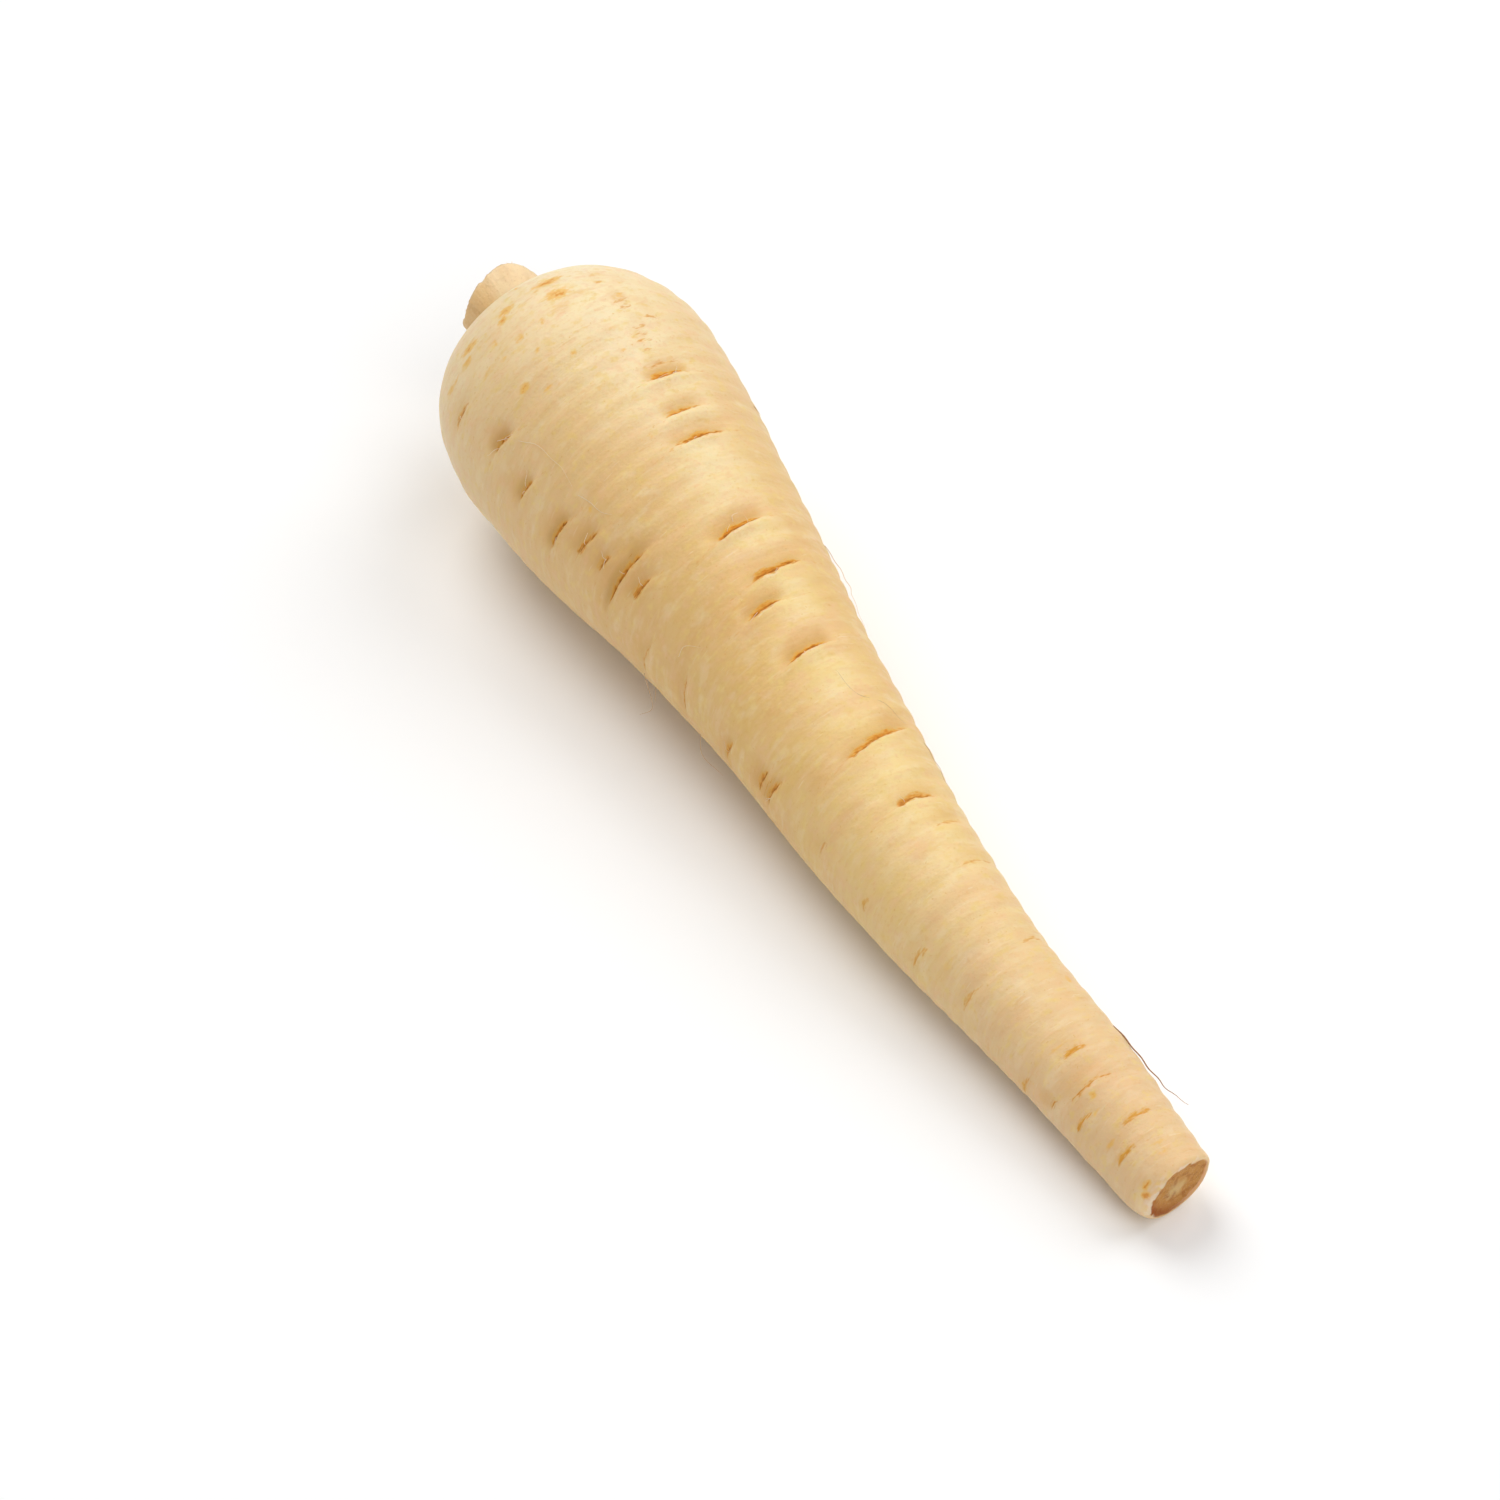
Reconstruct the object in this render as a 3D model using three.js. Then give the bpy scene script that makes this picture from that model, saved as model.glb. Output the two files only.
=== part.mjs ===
// A parsnip lying on its side: the trimmed taproot, crown at -X and cut tip at +X, and the cut stub
// of the leaf stalks that stands in the hollow of the crown. Millimetres, +Z up, origin on the
// surface it lies on, under the middle of the whole.
//
// Both pieces are turned round the root's own axis and then shaped by formulas. A place on the root
// is given by its distance along the axis from the rim of the crown and its angle round the axis:
// 0 is the top, 90 is the +Y side, -90 the -Y side and 180 the underside.

import * as THREE from 'three';

// ---- Driving dimensions of the taproot ----

const ROOT_LENGTH = 231.5;       // from the rim of the crown to the cut at the tip
const SHOULDER_RADIUS = 29.6;    // at the widest ring
const SHOULDER_DEPTH = 25;       // from the rim back to the widest ring
const SHOULDER_SQUARENESS = 2.2; // exponent of the shoulder's arch: 2 is an ellipse
const RIM_RADIUS = 11;           // of the rim round the hollow in the crown
const HOLLOW_DEPTH = 5.5;
const HOLLOW_FLOOR_RADIUS = 9.1;
const HOLLOW_SHIFT = { y: -1.2, z: 2 }; // of the hollow off the root's axis
const TIP_ROUNDING = 7;          // length over which the worn edge of the tip cut rounds off
const TIP_EDGE_DROP = 2;         // how far that edge falls below the taper
const TIP_CUT_SLANT_DEG = 7;
const TIP_CUT_LONG_SIDE_DEG = -114; // the cut leaves the root longest on this side
const TIP_CUT_DISH = 0.5;        // how far the middle of the cut has shrunk in

// Radius of the body at distances from the rim.
const TAPER = [
  [25, 29.6], [50, 26.8], [75, 22.6], [100, 19], [125, 16.3],
  [150, 14.2], [175, 11.7], [200, 10.3], [220, 9], [231.5, 8.6],
];
// Sideways bend of the axis at distances from the rim.
const BEND = [[0, -0.9], [40, -0.7], [80, -0.9], [120, -3.1], [160, -3.8], [200, -1.6], [231.5, 0]];

const SHOULDER_REST = 32;  // the root rests on its shoulder here
const TIP_REST = 227;      // and near its tip here
const SHOULDER_FLAT = 0.6; // how deep the shoulder is pressed flat where it rests
const TIP_FLAT = 0.5;

// ---- Furrows: the sunk scars across the skin where side roots grew ----

const SLIT_HALF_WIDTH = 1.5;
const DENT_HALF_WIDTH = 3.6; // of the soft dent on the crown's side of each slit
const DENT_SHARE = 0.45;     // of the slit's depth
const LIP_SHARE = 0.22;      // the skin swells by this share of the depth past the slit

// Distance along the axis, angle, length round the skin, depth and slant of each clear furrow.
const CLEAR_FURROWS = [
  // the upper rank
  [40.5, 15, 9, 1, 0], [49, 12, 8.5, 0.8, -0.8], [55.5, 12, 12, 0.8, -0.7],
  [76.5, 4, 10.5, 1.1, -1.2], [87.5, 11, 11.5, 0.7, -1], [94, -7, 8, 0.9, -0.5],
  [105.5, 3, 9.5, 1.1, -1], [128, 15, 16.5, 0.9, -2.4], [142.5, 14, 9.5, 0.6, 0],
  [149, 31, 8, 0.4, -0.7], [158.5, 35, 10, 0.4, -0.5], [177.5, 33, 6, 0.3, 0],
  [201, -14, 5, 0.5, 1.6], [208.5, -23, 9, 0.7, 0], [218.5, -3, 5, 0.5, -0.4],
  // the rank on the -Y side
  [19, -68, 7.5, 0.7, 0], [31, -60, 6, 1.1, 1], [41, -67, 6, 1, 0.8],
  [52.5, -69, 8.5, 1.1, 1], [59, -61, 7, 0.8, 1.2], [64.5, -62, 5, 0.7, 0.5],
  [69.5, -60, 15, 1.2, 0], [74, -56, 6, 0.8, 0.4], [81.5, -89, 10, 0.6, 0.5],
  [93.5, -84, 9.5, 0.5, -1.8], [108.5, -89, 8, 0.6, 1], [119, -77, 6, 0.6, 0.3],
  [122.5, -76, 7.5, 0.7, 1], [138.5, -71, 3.5, 0.3, 0], [152.5, -74, 4, 0.4, 0],
  [167.5, -72, 6.5, 0.5, 0.5], [180.5, -62, 7, 0.5, 0], [199, -85, 6, 0.5, 0],
  [206, -74, 3.5, 0.4, 0.3], [213.5, -58, 4.5, 0.5, -0.5], [223, -44, 4.5, 0.4, 0],
];
// The other two ranks, on the far side and underneath, are drawn by a seeded rule.
const DRAWN_RANKS = [{ angle: 103, seed: 41 }, { angle: -165, seed: 97 }];

// ---- Driving dimensions of the leaf stalk stub ----

const STUB_HEIGHT = 14;      // from the floor of the hollow to the cut
const STUB_RADIUS = 8.4;
const STUB_FLARE = 0.06;     // share by which the cut end is wider
const STUB_LEAN = { y: -0.05, z: 0.14 }; // sideways travel for each millimetre of height
const STUB_GAP = 0.3;        // between the stub and the floor of the hollow
const STALKS = 5;            // overlapping stalk bases round the bundle
const STALK_BULGE = 0.9;     // how far each base stands out between its seams
const STUB_CUT_WAVE = 0.7;   // unevenness of the cut
const STUB_CUT_DISH = 1.2;   // how far the pith has shrunk in

// ---- Fineness ----

const ROOT_SIDES = 38;
const BODY_STATIONS = 126;
const SHOULDER_STATIONS = 12;
const STUB_SIDES = 40;

const DEG = Math.PI / 180;
const clamp01 = (value) => Math.min(Math.max(value, 0), 1);
const bell = (offset, width) => Math.exp(-((offset / width) ** 2));

/** Smooth curve through [distance, value] knots, with the slope at each knot from its neighbours. */
function smoothThrough(knots, distance) {
  const last = knots.length - 1;
  const slopeAt = (i) => {
    const [d0, v0] = knots[Math.max(i - 1, 0)];
    const [d1, v1] = knots[Math.min(i + 1, last)];
    return (v1 - v0) / (d1 - d0);
  };
  let i = 0;
  while (i < last - 1 && distance > knots[i + 1][0]) i += 1;
  const [d0, v0] = knots[i];
  const [d1, v1] = knots[i + 1];
  const span = d1 - d0;
  const t = clamp01((distance - d0) / span);
  const rise = (2 * t - 3) * t * t;
  const start = slopeAt(i) * span * t * (1 - t) ** 2;
  const end = slopeAt(i + 1) * span * t * t * (t - 1);
  return v0 * (1 + rise) - v1 * rise + start + end;
}

const bodyRadius = (along) => smoothThrough(TAPER, along);
const bend = (along) => smoothThrough(BEND, Math.max(along, 0));

/** Park and Miller's generator, giving numbers from 0 to 1. */
function seededRandom(seed) {
  let state = seed;
  return () => {
    state = (state * 16807) % 2147483647;
    return state / 2147483647;
  };
}

/** One rank of furrows down the root, closer and shorter where the root is thinner. */
function drawnRank({ angle, seed }) {
  const random = seededRandom(seed);
  const furrows = [];
  let at = 16 + 8 * random();
  while (at < 222) {
    const plumpness = 0.5 + (0.5 * bodyRadius(at)) / SHOULDER_RADIUS;
    const turned = angle + 26 * (random() - 0.5);
    const span = (4 + 8 * random()) * plumpness;
    const depth = (0.4 + 0.7 * random()) * plumpness;
    const slant = 1.6 * (random() - 0.5);
    furrows.push([at, turned, span, depth, slant]);
    at += 8 + 11 * random();
  }
  return furrows;
}

const FURROWS = [...CLEAR_FURROWS, ...DRAWN_RANKS.flatMap(drawnRank)];

/** Height of the skin over the plain form made by the furrows: slit, dent before it, lip after it. */
function furrowRelief(along, angle) {
  const radius = bodyRadius(along);
  let relief = 0;
  for (const [at, turned, span, depth, slant] of FURROWS) {
    const turn = Math.atan2(Math.sin(angle - turned * DEG), Math.cos(angle - turned * DEG));
    const across = (2 * turn * radius) / span;
    const past = along - at - (slant * across) / 2;
    if (Math.abs(across) < 1.5 && Math.abs(past) < 12) {
      const slitFade = clamp01(1 - across ** 2);
      const softFade = clamp01(1 - (across / 1.5) ** 2);
      const slit = slitFade * clamp01(1 - Math.abs(past) / SLIT_HALF_WIDTH);
      const dent = DENT_SHARE * softFade * bell(past + 2.2, DENT_HALF_WIDTH);
      const lip = LIP_SHARE * softFade * bell(past - 3, 2);
      relief += depth * (lip - slit - dent);
    }
  }
  return relief;
}

/** Slow swells and shallow ring wrinkles, strongest along the top and the far side. */
function swellRelief(along, angle) {
  const swells = 0.3 * Math.sin(along / 9 + 2 * Math.cos(angle)) * Math.cos(2 * angle + along / 31)
    + 0.25 * Math.sin(along / 17 + 1.3) * Math.cos(angle - 0.6);
  const rings = 0.13 * Math.sin(along * 1.25 + 1.5 * Math.sin(angle) + Math.sin(along / 7));
  const ringFade = 0.5 + 0.5 * Math.cos(angle - 0.7 + Math.sin(along / 23));
  const fromEnds = clamp01(along / 15) * clamp01((ROOT_LENGTH - along) / 15);
  return (swells + rings * ringFade) * fromEnds;
}

// ---- How the root lies ----

const restFall = bodyRadius(SHOULDER_REST) - SHOULDER_FLAT - bodyRadius(TIP_REST) + TIP_FLAT;
const REST_TILT = Math.atan(restFall / (TIP_REST - SHOULDER_REST));
const AXIS_HEIGHT = SHOULDER_REST * Math.sin(REST_TILT)
  + bodyRadius(SHOULDER_REST) * Math.cos(REST_TILT) - SHOULDER_FLAT;

/** Lays a point of the upright root frame on the surface, pressing flat what would go below it. */
function lay(along, y, z) {
  const x = along * Math.cos(REST_TILT) + z * Math.sin(REST_TILT);
  const height = AXIS_HEIGHT - along * Math.sin(REST_TILT) + z * Math.cos(REST_TILT);
  return new THREE.Vector3(x, y + bend(along), Math.max(height, 0));
}

/** Turns a profile of {along, radius} round the axis and moves each point to where place says. */
function turnedSolid(profile, sides, place) {
  const points = profile.map(({ along, radius }) => new THREE.Vector2(radius, along));
  const geometry = new THREE.LatheGeometry(points, sides);
  const position = geometry.getAttribute('position');
  for (let v = 0; v < position.count; v += 1) {
    const ring = v % profile.length;
    const side = Math.floor(v / profile.length) % sides;
    const point = place(profile[ring], (-2 * Math.PI * side) / sides);
    position.setXYZ(v, point.x, point.y, point.z);
  }
  geometry.computeVertexNormals();
  return geometry;
}

// ---- Taproot ----

/** Distances of the body's rings, each moved onto the slit of a furrow where one is near. */
function bodyDistances() {
  const end = ROOT_LENGTH - TIP_ROUNDING;
  const step = (end - SHOULDER_DEPTH) / BODY_STATIONS;
  const distances = Array.from({ length: BODY_STATIONS }, (_, i) => SHOULDER_DEPTH + step * (i + 1));
  const moved = new Set();
  for (const [at] of FURROWS) {
    const nearest = Math.round((at - SHOULDER_DEPTH) / step) - 1;
    if (nearest >= 0 && nearest < BODY_STATIONS - 1 && !moved.has(nearest)) {
      distances[nearest] = at;
      moved.add(nearest);
    }
  }
  return distances;
}

/** The root's outline from the floor of the hollow, over the rim and down to the cut at the tip. */
function rootProfile() {
  const hollow = [{ along: HOLLOW_DEPTH, radius: 0 }];
  const hollowSteps = 4;
  for (let i = 0; i < hollowSteps; i += 1) {
    const turn = (i / hollowSteps) * (Math.PI / 2);
    const radius = RIM_RADIUS - (RIM_RADIUS - HOLLOW_FLOOR_RADIUS) * Math.cos(turn);
    hollow.push({ along: HOLLOW_DEPTH * (1 - Math.sin(turn)), radius });
  }
  const power = 2 / SHOULDER_SQUARENESS;
  const shoulder = Array.from({ length: SHOULDER_STATIONS + 1 }, (_, i) => {
    const turn = (i / SHOULDER_STATIONS) * (Math.PI / 2);
    const along = SHOULDER_DEPTH * (1 - Math.cos(turn) ** power);
    return { along, radius: RIM_RADIUS + (SHOULDER_RADIUS - RIM_RADIUS) * Math.sin(turn) ** power };
  });
  const body = bodyDistances().map((along) => ({ along, radius: bodyRadius(along) }));
  const tip = [25, 50, 72, 90].map((degrees) => {
    const along = ROOT_LENGTH - TIP_ROUNDING * (1 - Math.sin(degrees * DEG));
    const drop = TIP_EDGE_DROP * (1 - Math.cos(degrees * DEG));
    return { along, radius: bodyRadius(along) - drop };
  });
  const edge = tip[tip.length - 1].radius;
  const cut = [0.62, 0.3, 0].map((share) => ({ along: ROOT_LENGTH, radius: edge * share, share }));
  return [...hollow, ...shoulder, ...body, ...tip, ...cut];
}

/** Places a point of the root's outline, with its relief, bend, shifted hollow and slanted cut. */
function placeOnRoot({ along, radius, share = 1 }, angle) {
  const outside = radius >= RIM_RADIUS || along > HOLLOW_DEPTH;
  const raised = outside && share === 1
    ? furrowRelief(along, angle) * clamp01(along / 12) + swellRelief(along, angle)
    : 0;
  const reach = radius + raised;
  const shift = along < SHOULDER_DEPTH ? 1 - (radius / SHOULDER_RADIUS) ** 2 : 0;
  const slant = Math.tan(TIP_CUT_SLANT_DEG * DEG) * Math.cos(angle - TIP_CUT_LONG_SIDE_DEG * DEG);
  const nearTip = clamp01((along - ROOT_LENGTH + 2 * TIP_ROUNDING) / (2 * TIP_ROUNDING));
  const dish = share < 1 ? TIP_CUT_DISH * (1 - share ** 2) : 0;
  return lay(
    along + reach * slant * nearTip - dish,
    HOLLOW_SHIFT.y * shift + reach * Math.sin(angle),
    HOLLOW_SHIFT.z * shift + reach * Math.cos(angle),
  );
}

function makeTaproot() {
  const skin = new THREE.MeshStandardMaterial({ color: '#ead3a3', roughness: 0.5, metalness: 0 });
  const mesh = new THREE.Mesh(turnedSolid(rootProfile(), ROOT_SIDES, placeOnRoot), skin);
  mesh.name = 'taproot';
  return mesh;
}

// ---- Leaf stalk stub ----

/** The stub's outline, from its cut end back to its foot in the hollow. */
function stubProfile() {
  const cut = [0, 0.35, 0.7].map((share) => ({ height: STUB_HEIGHT, share }));
  const wall = [1, 0.93, 0.8, 0.6, 0.4, 0.2, 0].map((rise) => ({
    height: STUB_GAP + (STUB_HEIGHT - STUB_GAP) * rise,
    share: 1,
  }));
  const foot = { height: STUB_GAP, share: 0 };
  return [...cut, ...wall, foot].map(({ height, share }) => ({
    along: HOLLOW_DEPTH - height,
    radius: STUB_RADIUS * share,
    height,
    share,
  }));
}

/** Places a point of the stub: stalk bases bulge between their seams, and the cut is uneven. */
function placeOnStub({ height, share }, angle) {
  const rise = height / STUB_HEIGHT;
  const seam = Math.abs(Math.sin((STALKS * (angle + 0.25 * rise)) / 2 + 0.4 * Math.cos(angle)));
  const plain = STUB_RADIUS * (1 + STUB_FLARE * (2 * rise - 1)) - STALK_BULGE / 2;
  const reach = share * (plain + STALK_BULGE * seam ** 0.7);
  const wave = STUB_CUT_WAVE * (Math.sin(2 * angle + 1) + 0.6 * Math.cos(3 * angle)) * share;
  const dish = STUB_CUT_DISH * (1 - share ** 2);
  const top = rise === 1 ? wave - dish : wave * clamp01(2 * rise - 1);
  const tall = height + top;
  return lay(
    HOLLOW_DEPTH - tall,
    HOLLOW_SHIFT.y + STUB_LEAN.y * tall + reach * Math.sin(angle),
    HOLLOW_SHIFT.z + STUB_LEAN.z * tall + reach * Math.cos(angle),
  );
}

function makeLeafStalkStub() {
  const stalk = new THREE.MeshStandardMaterial({ color: '#c9a67c', roughness: 0.8, metalness: 0 });
  const mesh = new THREE.Mesh(turnedSolid(stubProfile(), STUB_SIDES, placeOnStub), stalk);
  mesh.name = 'leaf_stalk_stub';
  return mesh;
}

// ---- The parsnip, centred over the origin ----

const parsnip = new THREE.Group();
parsnip.add(makeTaproot(), makeLeafStalkStub());
const middle = new THREE.Box3().setFromObject(parsnip).getCenter(new THREE.Vector3());
parsnip.position.set(-middle.x, -middle.y, 0);

export default parsnip;
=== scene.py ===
"""A trimmed parsnip lying on a pale floor under soft studio light.

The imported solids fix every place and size. Two finer bodies replace them: the taproot, with its
furrows, wrinkles and cut tip, and the bundle of leaf stalk bases in the crown. Fine rootlets lie on
the skin. Shapes are worked out in millimetres in the root's own frame, in which a place is given by
its distance along the axis from the rim of the crown and its angle round the axis (0 is the top,
90 the +Y side, -90 the -Y side, 180 the underside), and are then laid on the floor in metres.
"""

import logging
import math
from dataclasses import dataclass, field
from enum import Enum
from functools import cached_property
from typing import Any

import bpy
import numpy as np
from mathutils import Matrix, Vector


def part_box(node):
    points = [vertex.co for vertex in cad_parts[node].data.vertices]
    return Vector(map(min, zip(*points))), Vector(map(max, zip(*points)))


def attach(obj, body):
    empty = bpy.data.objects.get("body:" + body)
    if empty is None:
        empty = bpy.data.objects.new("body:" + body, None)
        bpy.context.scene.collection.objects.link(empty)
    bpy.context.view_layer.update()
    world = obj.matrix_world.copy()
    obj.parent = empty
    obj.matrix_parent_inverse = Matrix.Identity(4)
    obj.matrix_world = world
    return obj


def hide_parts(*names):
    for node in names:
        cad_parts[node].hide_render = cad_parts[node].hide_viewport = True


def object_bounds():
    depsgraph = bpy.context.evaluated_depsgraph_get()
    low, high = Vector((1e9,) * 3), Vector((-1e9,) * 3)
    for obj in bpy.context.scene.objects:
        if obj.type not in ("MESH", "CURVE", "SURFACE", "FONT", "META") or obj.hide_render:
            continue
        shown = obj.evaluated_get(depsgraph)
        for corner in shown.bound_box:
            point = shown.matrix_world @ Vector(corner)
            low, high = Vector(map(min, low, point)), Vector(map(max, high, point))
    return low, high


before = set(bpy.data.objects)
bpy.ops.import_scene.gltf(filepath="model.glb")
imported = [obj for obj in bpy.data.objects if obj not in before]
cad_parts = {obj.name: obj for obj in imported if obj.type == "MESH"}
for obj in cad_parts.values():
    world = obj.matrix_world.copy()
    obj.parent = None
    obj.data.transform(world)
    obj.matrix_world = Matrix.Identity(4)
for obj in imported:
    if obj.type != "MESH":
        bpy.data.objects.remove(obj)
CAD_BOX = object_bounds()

LOG = logging.getLogger("parsnip")
BODY = "root"
MM = 0.001

Array = np.ndarray
Socket = bpy.types.NodeSocket
Piece = bpy.types.Object
Material = bpy.types.Material
MATH = "ShaderNodeMath"


# ---- Small helpers ----


def to_linear(colour: str) -> tuple[float, float, float, float]:
    """Turns an sRGB hex colour into linear light.

    Args:
        colour: Six hex digits, with or without a leading #.

    Returns:
        Linear red, green and blue, and an alpha of 1.
    """
    digits = colour.lstrip("#")
    channels = [int(digits[i:i + 2], 16) / 255 for i in (0, 2, 4)]
    linear = [c / 12.92 if c <= 0.04045 else ((c + 0.055) / 1.055) ** 2.4 for c in channels]
    return (linear[0], linear[1], linear[2], 1.0)


def per_metre(size_mm: float) -> float:
    """Gives the texture scale at which one feature of a pattern measures size_mm."""
    return 1000.0 / size_mm


def clamp01(values: Array) -> Array:
    """Keeps values between 0 and 1."""
    return np.clip(values, 0.0, 1.0)


def smooth_step(values: Array) -> Array:
    """Eases values from 0 to 1: t squared times three less two t."""
    t = clamp01(values)
    return t * t * (3.0 - 2.0 * t)


def bell(offset: Array, width: float) -> Array:
    """A hump of height 1 round zero: e to the power of minus (offset over width) squared."""
    return np.exp(-((offset / width) ** 2))


def facing(angle: Array, degrees: float) -> Array:
    """Cosine of the turn from a direction: 1 where an angle in radians faces it, -1 opposite."""
    return np.cos(angle - math.radians(degrees))


def turn_from(angle: Array, degrees: float) -> Array:
    """Turn from a direction to an angle in radians, kept between minus and plus half a circle."""
    off = angle - math.radians(degrees)
    return np.arctan2(np.sin(off), np.cos(off))


def smooth_through(knots: tuple[tuple[float, float], ...], distance: Array) -> Array:
    """Follows a smooth curve through knots, a cubic between each two with slopes from neighbours.

    Args:
        knots: Pairs of distance and value, in order.
        distance: Where to read the curve.

    Returns:
        The curve's value at each distance.
    """
    places, values = np.array(knots, dtype=float).T
    last = len(places) - 1
    before, after = np.maximum(np.arange(last + 1) - 1, 0), np.minimum(np.arange(last + 1) + 1, last)
    slopes = (values[after] - values[before]) / (places[after] - places[before])
    i = np.clip(np.searchsorted(places, distance, side="left") - 1, 0, last - 1)
    span = places[i + 1] - places[i]
    t = clamp01((distance - places[i]) / span)
    rise = (2 * t - 3) * t * t
    start = slopes[i] * span * t * (1 - t) ** 2
    end = slopes[i + 1] * span * t * t * (t - 1)
    return values[i] * (1 + rise) - values[i + 1] * rise + start + end


def lattice_value(x: Array, y: Array, z: Array, seed: int) -> Array:
    """Gives each whole-number lattice point a fixed number from -1 to 1 by mixing its bits."""
    mixed = (
        x.astype(np.uint32) * np.uint32(374761393)
        + y.astype(np.uint32) * np.uint32(668265263)
        + z.astype(np.uint32) * np.uint32(2246822519)
        + np.uint32((seed * 3266489917) & 0xFFFFFFFF)
    )
    mixed = (mixed ^ (mixed >> np.uint32(13))) * np.uint32(1274126177)
    mixed = mixed ^ (mixed >> np.uint32(16))
    return mixed.astype(np.float64) / 2147483647.5 - 1.0


def value_noise(points: Array, size: float, seed: int, layers: int = 1) -> Array:
    """Smooth random field, eased between lattice points; each layer is half as large and strong.

    Args:
        points: Places in millimetres, with x, y and z last.
        size: Spacing of the first layer's lattice in millimetres.
        seed: Chooses the field.
        layers: How many layers are added.

    Returns:
        The field at each place, roughly from -1 to 1.
    """
    total = np.zeros(points.shape[:-1])
    for layer in range(layers):
        scaled = points * (2**layer / size) + 1000.0
        low = np.floor(scaled)
        ease = smooth_step(scaled - low)
        low = low.astype(np.int64)
        field_value = np.zeros(points.shape[:-1])
        for corner in range(8):
            step = [(corner >> axis) & 1 for axis in range(3)]
            weight = np.ones(points.shape[:-1])
            for axis in range(3):
                weight = weight * (ease[..., axis] if step[axis] else 1.0 - ease[..., axis])
            x, y, z = (low[..., axis] + step[axis] for axis in range(3))
            field_value += weight * lattice_value(x, y, z, seed + 17 * layer)
        total += field_value * 0.5**layer
    return total


def seeded_numbers(seed: int, count: int) -> list[float]:
    """Park and Miller's generator: the state times 16807, modulo 2 to the 31 less 1, as 0 to 1."""
    factor, modulus = 16807, 2147483647
    numbers = []
    state = seed
    for _ in range(count):
        state = (state * factor) % modulus
        numbers.append(state / modulus)
    return numbers


def new_object(name: str, data: bpy.types.ID) -> Piece:
    """Puts an object with this data into the scene, at the origin."""
    made = bpy.data.objects.new(name, data)
    bpy.context.scene.collection.objects.link(made)
    return made


def aimed(place: Vector, heading: Vector) -> Matrix:
    """Stands a lamp or the camera at a place, looking along a heading."""
    return Matrix.Translation(place) @ heading.to_track_quat("-Z", "Y").to_matrix().to_4x4()


def mesh_piece(name: str, verts: Array, faces: Array, finish: Material) -> Piece:
    """Makes a smooth-shaded mesh object at the origin and ties it to the part.

    Args:
        name: The piece's name.
        verts: Places in metres, one row each.
        faces: Corner numbers, one row of three or four each; a row ending in -1 is a triangle.
        finish: The piece's material.

    Returns:
        The new object, riding on the part's body.
    """
    data = bpy.data.meshes.new(name)
    triangles = faces[:, 3] < 0
    sizes = np.where(triangles, 3, 4)
    corners = faces[faces >= 0]
    data.vertices.add(len(verts))
    data.vertices.foreach_set("co", np.ascontiguousarray(verts, dtype=np.float32).ravel())
    data.loops.add(len(corners))
    data.loops.foreach_set("vertex_index", corners.astype(np.int32))
    data.polygons.add(len(faces))
    data.polygons.foreach_set("loop_start", (np.cumsum(sizes) - sizes).astype(np.int32))
    data.polygons.foreach_set("use_smooth", np.ones(len(faces), dtype=bool))
    data.update(calc_edges=True)
    data.validate()
    data.materials.append(finish)
    piece = new_object(name, data)
    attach(piece, BODY)
    return piece


def add_mark(piece: Piece, name: str, values: Array) -> None:
    """Stores one number per vertex under a name, for the material to read."""
    layer = piece.data.attributes.new(name, "FLOAT", "POINT")
    layer.data.foreach_set("value", np.ascontiguousarray(values, dtype=np.float32).ravel())


def ring_faces(rings: int, sides: int, first: int = 0) -> Array:
    """Joins rings of points into bands of four-cornered faces that close round.

    Point number is ring times sides plus side; each face takes two neighbours on one ring and the
    same two on the next.
    """
    ring, side = np.meshgrid(np.arange(rings - 1), np.arange(sides), indexing="ij")
    after = (side + 1) % sides
    here, beyond = ring * sides, (ring + 1) * sides
    corners = [here + side, here + after, beyond + after, beyond + side]
    return np.stack(corners, axis=-1).reshape(-1, 4) + first


def fan_faces(pole: int, ring_start: int, sides: int, outward: bool) -> Array:
    """Closes a ring onto one point with triangles, turned one way or the other."""
    side = np.arange(sides)
    after = (side + 1) % sides
    a, b = (side, after) if outward else (after, side)
    return np.stack([np.full(sides, pole), ring_start + a, ring_start + b, np.full(sides, -1)], axis=-1)


def closed_faces(rings: int, sides: int, first: int = 0) -> Array:
    """Joins rings of points into a closed skin, whose two poles are the points after the last ring."""
    pole, last_ring = first + rings * sides, first + (rings - 1) * sides
    return np.concatenate([
        ring_faces(rings, sides, first),
        fan_faces(pole, first, sides, False),
        fan_faces(pole + 1, last_ring, sides, True),
    ])


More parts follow.
